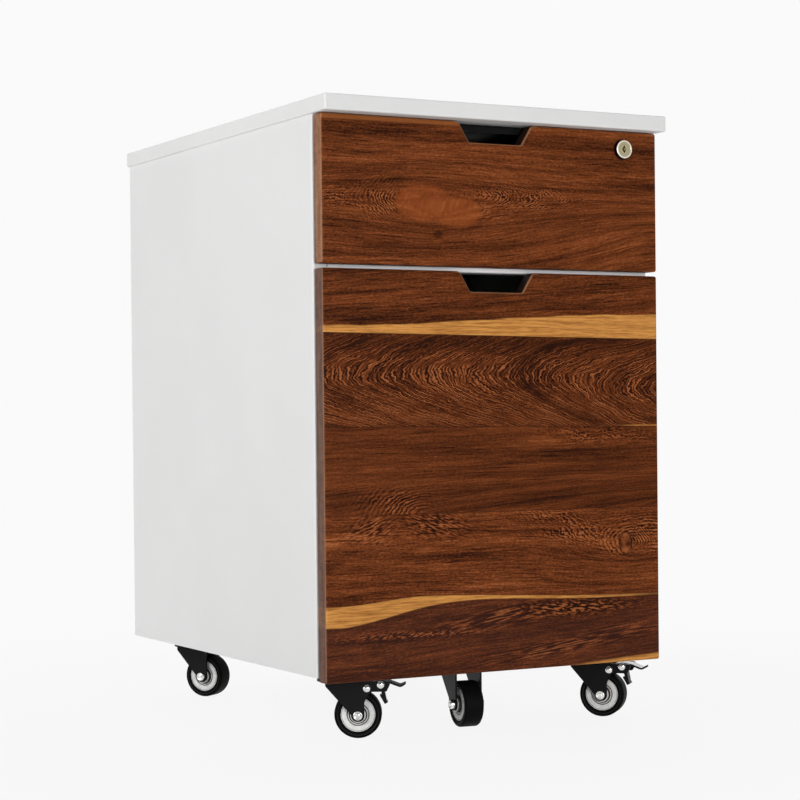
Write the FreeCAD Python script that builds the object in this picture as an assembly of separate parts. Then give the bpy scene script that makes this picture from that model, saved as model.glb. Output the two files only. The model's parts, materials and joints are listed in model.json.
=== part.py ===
import FreeCAD, Part
import math
import os

# Mobile filing cabinet with two drawers, in millimetres.
# The floor is z = 0, the front looks along -Y, and the slab's footprint is centred on the origin.

# Overall size
overall_width = 400.0
overall_depth = 525.0
overall_height = 636.0
caster_height = 68.0

# Top slab
slab_thickness = 16.0
slab_edge_radius = 1.6
slab_side_overhang = 2.5
slab_rear_overhang = 1.5
slab_front_overhang = 15.0

# Wooden drawer fronts
front_thickness = 17.5
front_edge_radius = 2.2
front_side_inset = 0.5
front_top_gap = 0.8
front_middle_gap = 4.5
front_bottom_drop = 4.0
front_standoff = 2.5
upper_front_height = 145.7

# Finger cut-outs in the top edge of each front
cut_top_width = 86.0
cut_bottom_width = 61.0
cut_depth = 20.5
cut_top_radius = 6.0
cut_bottom_radius = 3.5

# Carcass sheet metal
sheet = 1.2
sheet_bend = 1.0
side_flange = 16.0
side_lip = 14.0
rear_flange = 14.0
panel_gap = 1.5
top_rail_lip = 8.0
top_rail_depth = 32.0
divider_height = 16.0
divider_depth = 22.0
upright_width = 35.0
upright_foot = 12.0
upright_from_rear = 76.0
slab_screw_side_inset = 54.0
slab_screw_inset = 19.0

# Drawer slides, three nested channels on each side of a drawer
slide_rear_room = 34.1
slide_height = 45.0
slide_thickness = 12.7
slide_setback = 2.0
slide_outer_sheet = 1.2
slide_sheet = 1.0
slide_bend = 0.4
slide_clearance = 0.3
slide_race = 4.3
slide_outer_depth = 9.5
slide_lip_room = 0.8
slide_web_room = 1.5
upper_slide_rise = 41.0
lower_slide_rise = 168.0

# Drawer trays
tray_sheet = 1.0
tray_rear_room = 27.6
upper_tray_lift = 3.5
upper_wall_height = 86.0
lower_tray_lift = 12.8
lower_wall_height = 300.0
inner_front_below_cut = 9.0

# Rails for hanging folders
file_rail_spacing = 311.0
file_rail_thickness = 3.0
file_rail_height = 14.0
file_rail_below_top = 4.0

# Fasteners
screw_radius = 2.0
screw_head_radius = 4.0
screw_head_height = 2.4
screw_bite = 11.0
screw_clearance = 0.2
pilot_clearance = 0.05
front_screw_inset = 24.0
bolt_radius = 2.5
bolt_head_radius = 4.6
bolt_head_height = 3.0
bolt_hole_clearance = 0.15
nut_height = 4.0
nut_radius = 4.8
bolt_end = 1.5

# Cam lock in the upper front
lock_from_right = 42.5
lock_below_top = 18.7
bezel_radius = 10.0
bezel_height = 4.5
bezel_edge_radius = 0.9
barrel_radius = 8.0
plug_radius = 5.4
plug_clearance = 0.05
plug_recess = 0.6
plug_back_room = 0.4
key_slot_width = 1.3
key_slot_height = 6.6
key_slot_depth = 9.0
lock_nut_radius = 12.0
lock_nut_height = 4.0
lock_pocket_depth = 5.0
lock_pocket_room = 1.2
cam_room = 0.8
cam_thickness = 2.0
cam_width = 12.0
cam_reach = 15.5
cam_boss_radius = 5.4
cam_tip_radius = 1.8
cam_tail_radius = 3.6
cam_rivet_radius = 4.8
cam_rivet_height = 1.6

# Casters
front_kingpin_side_inset = 48.5
rear_kingpin_side_inset = 51.0
front_kingpin_inset = 50.5
rear_kingpin_inset = 56.0
fifth_kingpin_inset = 67.0
front_left_angle = -29.0
front_right_angle = -46.0
rear_left_angle = -54.0
rear_right_angle = 62.0
fifth_angle = -97.0
caster_trail = 20.0
wheel_radius = 24.0
tyre_half_width = 10.5
tyre_shoulder = 3.0
tyre_inner_radius = 17.4
tyre_step_radius = 20.6
tyre_step = 0.8
rim_half_width = 9.5
rim_ring_radius = 10.8
rim_groove_depth = 2.2
hub_radius = 8.0
hub_side_room = 0.5
axle_radius = 3.0
axle_head_radius = 4.7
axle_head_height = 4.2
axle_dimple_radius = 2.6
axle_dimple_depth = 0.8
running_clearance = 0.05
seat_clearance = 0.02
plate_length = 58.0
plate_width = 46.0
plate_thickness = 2.5
plate_corner_radius = 6.0
plate_bolt_inset = 7.0
race_radius = 17.0
race_height = 4.5
swivel_room = 0.5
fork_sheet = 2.0
fork_top_thickness = 3.0
fork_half_gap = 13.0
fork_disc_radius = 21.5
fork_boss_radius = 6.6
fork_boss_ease = 5.9
fork_lead = 12.6
fork_shoulder = 4.0
fork_bend = 3.0
kingpin_radius = 4.0
kingpin_head_radius = 8.0
kingpin_head_height = 3.2
kingpin_room = 0.3

# Brakes on the two front casters
ear_reach = 34.0
ear_slant = 5.0
ear_rise = 23.5
ear_radius = 2.5
ear_above_pivot = 3.0
flare_rise = 13.0
flare_reach = 12.5
flare_radius = 5.0
rivet_radius = 2.0
rivet_head_radius = 3.4
rivet_head_height = 1.8
rivet_head_ease = 1.4
spacer_rivet_reach = 9.0
spacer_rivet_rise = 27.0
pivot_reach = 23.0
pivot_rise = 30.6
lever_half_width = 9.0
lever_sheet = 2.0
lever_tip_reach = 48.5
lever_tip_rise = 1.2
lever_dip_reach = 43.0
lever_dip = 1.6
lever_slope_reach = 33.0
lever_slope_rise = 2.2
lever_heel = 8.0
lever_bend = 3.0
lever_tip_radius = 8.4
lever_barrel_radius = 3.4
lever_crown_room = 0.4
lever_heel_drop = 1.2
shoe_angle = 30.0
shoe_gap = 4.4
shoe_thickness = 3.6
shoe_half_height = 5.0
shoe_half_width = 6.0
shoe_arm_width = 5.0

# Fifth caster's bracket and the notch that it slides through
notch_width = 60.0
notch_room = 6.0
bracket_sheet = 2.0
bracket_half_width = 24.0
bracket_foot = 12.0
bracket_length = 62.0

os.makedirs("parts", exist_ok=True)
vec = FreeCAD.Vector
origin = vec(0, 0, 0)
x_axis = vec(1, 0, 0)
y_axis = vec(0, 1, 0)
z_axis = vec(0, 0, 1)
tiny = 0.01

# Levels and planes worked out from the sizes above
half_width = overall_width / 2
slab_front_y = -overall_depth / 2
slab_rear_y = overall_depth / 2
carcass_top = overall_height - slab_thickness
carcass_bottom = caster_height
carcass_half = half_width - slab_side_overhang
skin_half = carcass_half - sheet
wood_front_y = slab_front_y + slab_front_overhang
wood_back_y = wood_front_y + front_thickness
carcass_front_y = wood_back_y + front_standoff
carcass_rear_y = slab_rear_y - slab_rear_overhang
back_face_y = carcass_rear_y - sheet
inside_rear_y = back_face_y - sheet
mount_half = carcass_half - side_flange
lip_end_y = carcass_front_y + side_lip
wood_half = carcass_half - front_side_inset
upper_front_top = carcass_top - front_top_gap
upper_front_bottom = upper_front_top - upper_front_height
lower_front_top = upper_front_bottom - front_middle_gap
lower_front_bottom = carcass_bottom - front_bottom_drop
divider_bottom = lower_front_top
divider_top = divider_bottom + divider_height
panel_top = carcass_bottom + sheet
tray_half = mount_half - slide_thickness
plate_back_y = wood_back_y + tray_sheet
tray_rear_y = inside_rear_y - tray_rear_room
tray_back_y = tray_rear_y + tray_sheet
upper_floor = divider_top + upper_tray_lift
lower_floor = panel_top + lower_tray_lift
slide_front_y = carcass_front_y + slide_setback
slide_rear_y = inside_rear_y - slide_rear_room
lock_x = wood_half - lock_from_right
lock_z = upper_front_top - lock_below_top


def outline(corners):
    # Closed wire through (a, b, radius) corners, each rounded by its own radius
    points = [vec(a, b, 0) for a, b, radius in corners]
    bends = []
    for i, here in enumerate(points):
        radius = corners[i][2]
        to_last = (points[i - 1] - here).normalize()
        to_next = (points[(i + 1) % len(points)] - here).normalize()
        if radius > 0:
            half = to_last.getAngle(to_next) / 2
            reach = radius / math.tan(half)
            inward = (to_last + to_next).normalize()
            middle = here + inward * (radius / math.sin(half) - radius)
            bends.append((here + to_last * reach, middle, here + to_next * reach))
        else:
            bends.append((here, None, here))
    edges = []
    for i, (start, middle, end) in enumerate(bends):
        if middle is not None:
            edges.append(Part.Arc(start, middle, end).toShape())
        following = bends[(i + 1) % len(bends)][0]
        if end.distanceToPoint(following) > tiny:
            edges.append(Part.LineSegment(end, following).toShape())
    return Part.Wire(edges)


def prism(corners, plane, start, end):
    # Solid with the outline in the xy, xz or yz plane, from start to end along the third axis
    face = Part.Face(outline(corners))
    axis = z_axis
    if plane == "xz":
        face.rotate(origin, x_axis, 90)
        axis = y_axis
    if plane == "yz":
        face.rotate(origin, vec(1, 1, 1), 120)
        axis = x_axis
    face.translate(axis * start)
    return face.extrude(axis * (end - start))


def folded(path, thickness, bend):
    # Corners of a folded sheet that lies to the left of its path
    points = [vec(a, b, 0) for a, b in path]
    near = []
    far = []
    for i, here in enumerate(points):
        ways = []
        if i > 0:
            ways.append((here - points[i - 1]).normalize())
        if i < len(points) - 1:
            ways.append((points[i + 1] - here).normalize())
        sides = [vec(-way.y, way.x, 0) for way in ways]
        total = sides[0] + sides[-1]
        there = here + total * (2 * thickness / total.dot(total))
        near_radius = 0
        far_radius = 0
        if len(ways) == 2:
            turns_left = ways[0].cross(ways[1]).z > 0
            near_radius = bend + thickness if turns_left else bend
            far_radius = bend if turns_left else bend + thickness
        near.append((here.x, here.y, near_radius))
        far.append((there.x, there.y, far_radius))
    return near + far[::-1]


def box(x0, x1, y0, y1, z0, z1):
    return Part.makeBox(x1 - x0, y1 - y0, z1 - z0, vec(x0, y0, z0))


def rod(radius, start, end):
    # Cylinder between two points
    way = end - start
    return Part.makeCylinder(radius, way.Length, start, way)


def hexagon(radius, start, end, axis):
    # Six-sided head or nut between two points on a z or y axis
    corners = []
    for i in range(6):
        angle = math.radians(60 * i)
        corners.append((radius * math.cos(angle), radius * math.sin(angle), 0))
    face = Part.Face(outline(corners))
    if axis == "y":
        face.rotate(origin, x_axis, 90)
    face.translate(start)
    return face.extrude(end - start)


def turned(corners):
    # Solid of revolution about the y axis from a (radius, y) outline
    return Part.Face(outline(corners)).revolve(origin, y_axis, 360)


def mirrored(shape):
    return shape.mirror(origin, x_axis)


def pair(shape):
    # The left piece and its mirror image on the right
    return Part.makeCompound([shape, mirrored(shape)])


def eased(shape, radius, wanted):
    return shape.makeFillet(radius, [edge for edge in shape.Edges if wanted(edge.BoundBox)])


def joined(pieces):
    whole = pieces[0].fuse(pieces[1:])
    return whole.removeSplitter()


def down_screw(x, y, head_top, reach):
    # Screw driven upwards, its head under head_top
    shank = rod(screw_radius, vec(x, y, head_top), vec(x, y, head_top + reach))
    head = rod(screw_head_radius, vec(x, y, head_top - screw_head_height), vec(x, y, head_top))
    return joined([shank, head])


def front_screw(x, z):
    # Screw driven from inside the tray into a wooden front
    shank = rod(screw_radius, vec(x, wood_back_y - screw_bite, z), vec(x, plate_back_y, z))
    head = rod(screw_head_radius, vec(x, plate_back_y, z), vec(x, plate_back_y + screw_head_height, z))
    return joined([shank, head])


def front_screw_holes(places):
    wood_holes = []
    plate_holes = []
    for x, z in places:
        pilot = screw_radius + pilot_clearance
        through = screw_radius + screw_clearance
        bottom = wood_back_y - screw_bite - pilot_clearance
        wood_holes.append(rod(pilot, vec(x, bottom, z), vec(x, plate_back_y, z)))
        plate_holes.append(rod(through, vec(x, wood_back_y - tiny, z), vec(x, plate_back_y + tiny, z)))
    return wood_holes, plate_holes


# Carcass
slab_screw_x = mount_half - slab_screw_side_inset
slab_screw_places = []
for x in (-slab_screw_x, slab_screw_x):
    slab_screw_places.append((x, carcass_front_y + slab_screw_inset))
    slab_screw_places.append((x, inside_rear_y - slab_screw_inset))


def make_slab():
    slab = box(-half_width, half_width, slab_front_y, slab_rear_y, carcass_top, overall_height)
    slab = slab.makeFillet(slab_edge_radius, slab.Edges)
    for x, y in slab_screw_places:
        deep = screw_bite - sheet + pilot_clearance
        hole = rod(screw_radius + pilot_clearance, vec(x, y, carcass_top), vec(x, y, carcass_top + deep))
        slab = slab.cut(hole)
    return slab


def make_side_panel():
    path = [
        (-carcass_half + rear_flange, carcass_rear_y),
        (-carcass_half, carcass_rear_y),
        (-carcass_half, carcass_front_y),
        (-mount_half, carcass_front_y),
        (-mount_half, lip_end_y),
    ]
    return prism(folded(path, sheet, sheet_bend), "xy", carcass_bottom, carcass_top)


def make_back_panel():
    path = [
        (back_face_y, carcass_bottom),
        (back_face_y, carcass_top),
        (inside_rear_y - top_rail_depth, carcass_top),
    ]
    half = skin_half - panel_gap
    panel = prism(folded(path, sheet, sheet_bend), "yz", -half, half)
    return panel.cut(slab_screw_holes())


def slab_screw_holes():
    holes = []
    for x, y in slab_screw_places:
        low = vec(x, y, carcass_top - 2 * sheet)
        high = vec(x, y, carcass_top)
        holes.append(rod(screw_radius + screw_clearance, low, high))
    return holes


def make_bottom_panel():
    corners = [
        (-mount_half, carcass_front_y, 0),
        (-notch_width / 2, carcass_front_y, 0),
        (-notch_width / 2, notch_rear_y, notch_room),
        (notch_width / 2, notch_rear_y, notch_room),
        (notch_width / 2, carcass_front_y, 0),
        (mount_half, carcass_front_y, 0),
        (mount_half, lip_end_y, 0),
        (skin_half, lip_end_y, 0),
        (skin_half, inside_rear_y, 0),
        (-skin_half, inside_rear_y, 0),
        (-skin_half, lip_end_y, 0),
        (-mount_half, lip_end_y, 0),
    ]
    panel = prism(corners, "xy", carcass_bottom, panel_top)
    for place in corner_places:
        panel = panel.cut(plate_bolt_holes(place, carcass_bottom, panel_top))
    return panel


def make_top_front_rail():
    path = [
        (carcass_front_y + top_rail_depth, carcass_top),
        (carcass_front_y, carcass_top),
        (carcass_front_y, carcass_top - top_rail_lip),
    ]
    rail = prism(folded(path, sheet, sheet_bend), "yz", -mount_half, mount_half)
    return rail.cut(slab_screw_holes())


def make_divider_rail():
    path = [
        (carcass_front_y + divider_depth, divider_top),
        (carcass_front_y, divider_top),
        (carcass_front_y, divider_bottom),
        (carcass_front_y + divider_depth, divider_bottom),
    ]
    return prism(folded(path, sheet, sheet_bend), "yz", -mount_half, mount_half)


def make_upright():
    rear = inside_rear_y - upright_from_rear
    front = rear - upright_width
    path = [
        (-skin_half, rear + upright_foot),
        (-skin_half, rear),
        (-mount_half - sheet, rear),
        (-mount_half - sheet, front),
        (-skin_half, front),
        (-skin_half, front - upright_foot),
    ]
    return prism(folded(path, sheet, sheet_bend), "xy", panel_top, carcass_top - top_rail_lip)


# Slides: sections in (distance from the mounting face, height) for the left side
outer_half = slide_height / 2
outer_lip_tip = outer_half - slide_race
middle_half = outer_lip_tip - slide_clearance
middle_web = slide_outer_sheet + slide_clearance
inner_web = slide_thickness - slide_sheet
middle_lip = inner_web - slide_lip_room
middle_lip_tip = middle_half - slide_race
inner_flange = middle_lip_tip - slide_clearance - slide_sheet
inner_lip = middle_web + slide_sheet + slide_web_room
inner_lip_tip = middle_half - slide_sheet - slide_clearance

outer_section = [
    (slide_outer_depth, outer_lip_tip),
    (slide_outer_depth, outer_half),
    (0, outer_half),
    (0, -outer_half),
    (slide_outer_depth, -outer_half),
    (slide_outer_depth, -outer_lip_tip),
]
middle_section = [
    (middle_lip, middle_lip_tip),
    (middle_lip, middle_half),
    (middle_web, middle_half),
    (middle_web, -middle_half),
    (middle_lip, -middle_half),
    (middle_lip, -middle_lip_tip),
]
inner_section = [
    (inner_lip, inner_lip_tip),
    (inner_lip, inner_flange),
    (inner_web, inner_flange),
    (inner_web, -inner_flange),
    (inner_lip, -inner_flange),
    (inner_lip, -inner_lip_tip),
]


def slide_member(section, thickness, level):
    member = prism(folded(section, thickness, slide_bend), "xz", slide_front_y, slide_rear_y)
    member.translate(vec(-mount_half, 0, level))
    return member


# Drawers
def wood_front(top, bottom):
    half_top = cut_top_width / 2
    half_bottom = cut_bottom_width / 2
    corners = [
        (-wood_half, bottom, 0),
        (wood_half, bottom, 0),
        (wood_half, top, 0),
        (half_top, top, cut_top_radius),
        (half_bottom, top - cut_depth, cut_bottom_radius),
        (-half_bottom, top - cut_depth, cut_bottom_radius),
        (-half_top, top, cut_top_radius),
        (-wood_half, top, 0),
    ]
    board = prism(corners, "xz", wood_front_y, wood_back_y)

    def on_rim(bounds):
        on_face = bounds.YLength < tiny
        return on_face or bounds.XMax < tiny - wood_half or bounds.XMin > wood_half - tiny

    return eased(board, front_edge_radius, on_rim)


def drawer_tray(floor, wall_height):
    # Floor plate with a wall plate welded along each side
    wall_bottom = floor + tray_sheet
    bottom = box(-tray_half, tray_half, plate_back_y, tray_rear_y, floor, wall_bottom)
    wall = box(-tray_half, tray_sheet - tray_half, plate_back_y, tray_rear_y, wall_bottom, floor + wall_height)
    return Part.makeCompound([bottom, wall, mirrored(wall)])


def tray_back(floor, wall_height):
    return box(-tray_half, tray_half, tray_rear_y, tray_back_y, floor, floor + wall_height)


def inner_front(floor, top):
    return box(-tray_half, tray_half, wood_back_y, plate_back_y, floor, top)


def screw_places(floor, top):
    inset = front_screw_inset
    places = []
    for x in (-tray_half + inset, tray_half - inset):
        for z in (floor + inset, top - inset):
            places.append((x, z))
    return places


def drawer_set(front_top, front_bottom, floor, wall_height):
    # Front, tray, back, inner front and screws of one drawer
    plate_top = front_top - cut_depth - inner_front_below_cut
    places = screw_places(floor, plate_top)
    wood_holes, plate_holes = front_screw_holes(places)
    screws = [front_screw(x, z) for x, z in places]
    return {
        "front": wood_front(front_top, front_bottom).cut(wood_holes),
        "tray": drawer_tray(floor, wall_height),
        "back": tray_back(floor, wall_height),
        "inner_front": inner_front(floor, plate_top).cut(plate_holes),
        "screws": Part.makeCompound(screws),
    }


def make_file_rail():
    top = lower_floor + lower_wall_height - file_rail_below_top
    middle = -file_rail_spacing / 2
    half = file_rail_thickness / 2
    bottom = top - file_rail_height
    return box(middle - half, middle + half, plate_back_y, tray_rear_y, bottom, top)


# Lock
lock_seat_y = wood_back_y - lock_pocket_depth
cam_front_y = carcass_front_y + sheet + cam_room
cam_back_y = cam_front_y + cam_thickness
barrel_front_y = wood_front_y - bezel_height
barrel_back_y = cam_front_y - plug_back_room


def lock_rod(radius, start, end):
    return rod(radius, vec(lock_x, start, lock_z), vec(lock_x, end, lock_z))


def lock_holes():
    pocket = lock_rod(lock_nut_radius + lock_pocket_room, lock_seat_y, wood_back_y + tiny)
    through = lock_rod(barrel_radius + pilot_clearance, wood_front_y - tiny, lock_seat_y)
    return [pocket, through]


def make_lock_barrel():
    bezel = lock_rod(bezel_radius, barrel_front_y, wood_front_y)
    bezel = eased(bezel, bezel_edge_radius, lambda bounds: bounds.YMax < barrel_front_y + tiny)
    body = lock_rod(barrel_radius, wood_front_y, barrel_back_y)
    bore = lock_rod(plug_radius + plug_clearance, barrel_front_y - tiny, barrel_back_y + tiny)
    return joined([bezel, body]).cut(bore)


def make_lock_nut():
    start = vec(lock_x, lock_seat_y, lock_z)
    end = vec(lock_x, lock_seat_y + lock_nut_height, lock_z)
    bore = lock_rod(barrel_radius + seat_clearance, lock_seat_y - tiny, lock_seat_y + lock_nut_height + tiny)
    return hexagon(lock_nut_radius, start, end, "y").cut(bore)


def make_lock_plug():
    front = barrel_front_y + plug_recess
    core = lock_rod(plug_radius, front, barrel_back_y)
    tail = lock_rod(cam_tail_radius, barrel_back_y, cam_back_y)
    rivet = lock_rod(cam_rivet_radius, cam_back_y, cam_back_y + cam_rivet_height)
    half = key_slot_width / 2
    rise = key_slot_height / 2
    slot = box(lock_x - half, lock_x + half, front, front + key_slot_depth, lock_z - rise, lock_z + rise)
    return joined([core, tail, rivet]).cut(slot)


def make_lock_cam():
    half = cam_width / 2
    corners = [
        (lock_x + half, lock_z - half, cam_boss_radius),
        (lock_x + half, lock_z + half, cam_boss_radius),
        (lock_x - cam_reach, lock_z + half, cam_tip_radius),
        (lock_x - cam_reach, lock_z - half, cam_tip_radius),
    ]
    plate = prism(corners, "xz", cam_front_y, cam_back_y)
    return plate.cut(lock_rod(cam_tail_radius + seat_clearance, cam_front_y - tiny, cam_back_y + tiny))


# Casters in their own frame: the kingpin on the z axis, the wheel trailing along +X
plate_bottom = caster_height - plate_thickness
race_bottom = plate_bottom - race_height
fork_top = race_bottom - swivel_room
fork_plate_bottom = fork_top - fork_top_thickness
fork_outside = fork_half_gap + fork_sheet
hub_half = fork_half_gap - hub_side_room
pivot_x = caster_trail + pivot_reach
pivot_z = wheel_radius + pivot_rise
front_kingpin_x = carcass_half - front_kingpin_side_inset
rear_kingpin_x = carcass_half - rear_kingpin_side_inset
front_kingpin_y = carcass_front_y + front_kingpin_inset
rear_kingpin_y = carcass_rear_y - rear_kingpin_inset
fifth_kingpin_y = plate_back_y + fifth_kingpin_inset
notch_rear_y = fifth_kingpin_y + bracket_length / 2 + notch_room

corner_places = [
    ("front_left", -front_kingpin_x, front_kingpin_y, front_left_angle),
    ("front_right", front_kingpin_x, front_kingpin_y, front_right_angle),
    ("rear_left", -rear_kingpin_x, rear_kingpin_y, rear_left_angle),
    ("rear_right", rear_kingpin_x, rear_kingpin_y, rear_right_angle),
]
fifth_place = ("fifth", 0.0, fifth_kingpin_y, fifth_angle)


def placed(shape, place):
    # Swivelled about the kingpin by its resting angle and moved to its kingpin
    moved = shape.copy()
    moved.rotate(origin, z_axis, place[3])
    moved.translate(vec(place[1], place[2], 0))
    return moved


def plate_bolt_spots(place):
    across = plate_length / 2 - plate_bolt_inset
    along = plate_width / 2 - plate_bolt_inset
    if place[0] == "fifth":
        across, along = along, across
    return [(place[1] + i * across, place[2] + j * along) for i in (-1, 1) for j in (-1, 1)]


def plate_bolt_holes(place, low, high):
    radius = bolt_radius + bolt_hole_clearance
    return [rod(radius, vec(x, y, low - tiny), vec(x, y, high + tiny)) for x, y in plate_bolt_spots(place)]


def caster_plate(place):
    half_x = plate_length / 2
    half_y = plate_width / 2
    if place[0] == "fifth":
        half_x, half_y = half_y, half_x
    x, y = place[1], place[2]
    corners = []
    for i, j in ((-1, -1), (1, -1), (1, 1), (-1, 1)):
        corners.append((x + i * half_x, y + j * half_y, plate_corner_radius))
    plate = prism(corners, "xy", plate_bottom, caster_height)
    race = rod(race_radius, vec(x, y, race_bottom), vec(x, y, plate_bottom))
    bore = rod(kingpin_radius + seat_clearance, vec(x, y, race_bottom - tiny), vec(x, y, caster_height + tiny))
    return joined([plate, race]).cut([bore] + plate_bolt_holes(place, plate_bottom, caster_height))


def kingpin(place):
    x, y = place[1], place[2]
    head_top = fork_plate_bottom - kingpin_room
    shank = rod(kingpin_radius, vec(x, y, head_top), vec(x, y, caster_height - seat_clearance))
    head = rod(kingpin_head_radius, vec(x, y, head_top - kingpin_head_height), vec(x, y, head_top))
    return joined([shank, head])


def plate_bolts(place, seat):
    # Bolts up through a caster plate, with nuts on the seat
    bolts = []
    for x, y in plate_bolt_spots(place):
        head = rod(bolt_head_radius, vec(x, y, plate_bottom - bolt_head_height), vec(x, y, plate_bottom))
        shank = rod(bolt_radius, vec(x, y, plate_bottom), vec(x, y, seat + nut_height + bolt_end))
        nut = hexagon(nut_radius, vec(x, y, seat), vec(x, y, seat + nut_height), "z")
        bolts.append(joined([head, shank, nut]))
    return bolts


def fork_leg(braked):
    # Side profile of a fork leg, from the kingpin forwards and down to the axle
    boss = fork_boss_radius
    front_x = caster_trail - boss
    rear_x = caster_trail + boss
    corners = [
        (-fork_lead, fork_top, 0),
        (-fork_lead, fork_plate_bottom - fork_shoulder, fork_bend),
        (front_x, wheel_radius, fork_bend),
        (front_x, wheel_radius - boss, fork_boss_ease),
        (rear_x, wheel_radius - boss, fork_boss_ease),
    ]
    if braked:
        ear_low = wheel_radius + ear_rise
        ear_x = caster_trail + ear_reach
        corners.append((rear_x, wheel_radius + flare_rise, flare_radius))
        corners.append((caster_trail + flare_reach, ear_low, flare_radius))
        corners.append((ear_x - ear_slant, ear_low, ear_radius))
        corners.append((ear_x, pivot_z + ear_above_pivot, ear_radius))
        corners.append((rear_x, pivot_z + ear_above_pivot, 0))
    corners.append((rear_x, fork_top, 0))
    return corners


def fork(braked):
    legs = []
    for start in (-fork_outside, fork_half_gap):
        legs.append(prism(fork_leg(braked), "xz", start, start + fork_sheet))
    disc = rod(fork_disc_radius, vec(0, 0, fork_plate_bottom), vec(0, 0, fork_top))
    bridge_end = caster_trail + fork_boss_radius
    bridge = box(0, bridge_end, -fork_outside, fork_outside, fork_plate_bottom, fork_top)
    body = joined([disc, bridge] + legs)
    bore = rod(kingpin_radius + running_clearance, vec(0, 0, fork_plate_bottom - tiny), vec(0, 0, fork_top + tiny))
    holes = [bore, cross_rod(axle_radius + seat_clearance, caster_trail, wheel_radius, fork_outside + tiny)]
    if braked:
        for x, z in rivet_spots():
            holes.append(cross_rod(rivet_radius + seat_clearance, x, z, fork_outside + tiny))
    return body.cut(holes)


def cross_rod(radius, x, z, reach):
    return rod(radius, vec(x, -reach, z), vec(x, reach, z))


def axle():
    # Axle bolt with a round, dimpled head at each end
    pieces = [cross_rod(axle_radius, caster_trail, wheel_radius, fork_outside)]
    dimples = []
    for side in (-1, 1):
        end_y = side * (fork_outside + axle_head_height)
        start = vec(caster_trail, side * fork_outside, wheel_radius)
        end = vec(caster_trail, end_y, wheel_radius)
        head = rod(axle_head_radius, start, end)
        pieces.append(eased(head, axle_dimple_depth, lambda bounds: abs(bounds.Center.y - end_y) < tiny))
        dimples.append(rod(axle_dimple_radius, end - y_axis * side * axle_dimple_depth, end + y_axis * side))
    return joined(pieces).cut(dimples)


def rim():
    bore = axle_radius + running_clearance
    outside = tyre_inner_radius - seat_clearance
    groove = rim_half_width - rim_groove_depth
    side = [
        (bore, hub_half, 0),
        (hub_radius, hub_half, 0),
        (hub_radius, groove, 0),
        (rim_ring_radius, groove, 0),
        (rim_ring_radius, rim_half_width, 0),
        (outside, rim_half_width, 0),
    ]
    other = [(radius, -width, ease) for radius, width, ease in side[::-1]]
    wheel = turned(side + other)
    wheel.translate(vec(caster_trail, 0, wheel_radius))
    return wheel


def tyre():
    side = [
        (tyre_inner_radius, tyre_half_width - tyre_step, 0),
        (tyre_step_radius, tyre_half_width - tyre_step, 0),
        (tyre_step_radius, tyre_half_width, 0),
        (wheel_radius, tyre_half_width, tyre_shoulder),
    ]
    other = [(radius, -width, ease) for radius, width, ease in side[::-1]]
    ring = turned(side + other)
    ring.translate(vec(caster_trail, 0, wheel_radius))
    return ring


# Brakes
def rivet_spots():
    return [(pivot_x, pivot_z), (caster_trail + spacer_rivet_reach, wheel_radius + spacer_rivet_rise)]


def brake_rivets():
    rivets = []
    for x, z in rivet_spots():
        pieces = [cross_rod(rivet_radius, x, z, fork_outside)]
        for side in (-1, 1):
            start = vec(x, side * fork_outside, z)
            end = vec(x, side * (fork_outside + rivet_head_height), z)
            head = rod(rivet_head_radius, start, end)
            outer = side * (fork_outside + rivet_head_height)
            head = eased(head, rivet_head_ease, lambda bounds: abs(bounds.Center.y - outer) < tiny)
            pieces.append(head)
        rivets.append(joined(pieces))
    return Part.makeCompound(rivets)


def brake_lever():
    # Curved pedal, pivot barrel and arm with a shoe that swings towards the tyre
    tip_x = caster_trail + lever_tip_reach
    heel_x = pivot_x - lever_heel
    crown_z = pivot_z + lever_barrel_radius + lever_crown_room
    path = [
        (tip_x, pivot_z + lever_tip_rise),
        (caster_trail + lever_dip_reach, pivot_z - lever_dip),
        (caster_trail + lever_slope_reach, pivot_z + lever_slope_rise),
        (pivot_x, crown_z),
        (heel_x, crown_z - lever_heel_drop),
    ]
    pedal = prism(folded(path, lever_sheet, lever_bend), "xz", -lever_half_width, lever_half_width)
    plan = [
        (heel_x - lever_sheet, -lever_half_width, 0),
        (tip_x, -lever_half_width, lever_tip_radius),
        (tip_x, lever_half_width, lever_tip_radius),
        (heel_x - lever_sheet, lever_half_width, 0),
    ]
    pedal = pedal.common(prism(plan, "xy", 0, caster_height))
    barrel = cross_rod(lever_barrel_radius, pivot_x, pivot_z, lever_half_width)
    shoe = box(0, shoe_thickness, -shoe_half_width, shoe_half_width, -shoe_half_height, shoe_half_height)
    shoe.translate(vec(wheel_radius + shoe_gap, 0, 0))
    shoe.rotate(origin, y_axis, -shoe_angle)
    shoe.translate(vec(caster_trail, 0, wheel_radius))
    middle = shoe.CenterOfMass
    half = shoe_arm_width / 2
    arm = prism([
        (pivot_x - half, pivot_z, 0),
        (pivot_x + half, pivot_z, 0),
        (middle.x + half, middle.z, 0),
        (middle.x, middle.z, 0),
    ], "xz", -shoe_half_width, shoe_half_width)
    bore = cross_rod(rivet_radius + running_clearance, pivot_x, pivot_z, lever_half_width + tiny)
    return joined([pedal, barrel, arm, shoe]).cut(bore)


def make_bracket():
    # Channel under the lower tray that brings the fifth caster down to floor height
    half = bracket_half_width
    foot_z = lower_floor - bracket_sheet
    path = [
        (-half - bracket_foot, foot_z),
        (-half, foot_z),
        (-half, caster_height),
        (half, caster_height),
        (half, foot_z),
        (half + bracket_foot, foot_z),
    ]
    front = fifth_kingpin_y - bracket_length / 2
    rear = fifth_kingpin_y + bracket_length / 2
    corners = folded(path, bracket_sheet, sheet_bend)
    return prism(corners, "xz", front, rear).cut(bracket_holes())


def bracket_holes():
    return plate_bolt_holes(fifth_place, caster_height, caster_height + bracket_sheet)


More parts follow.
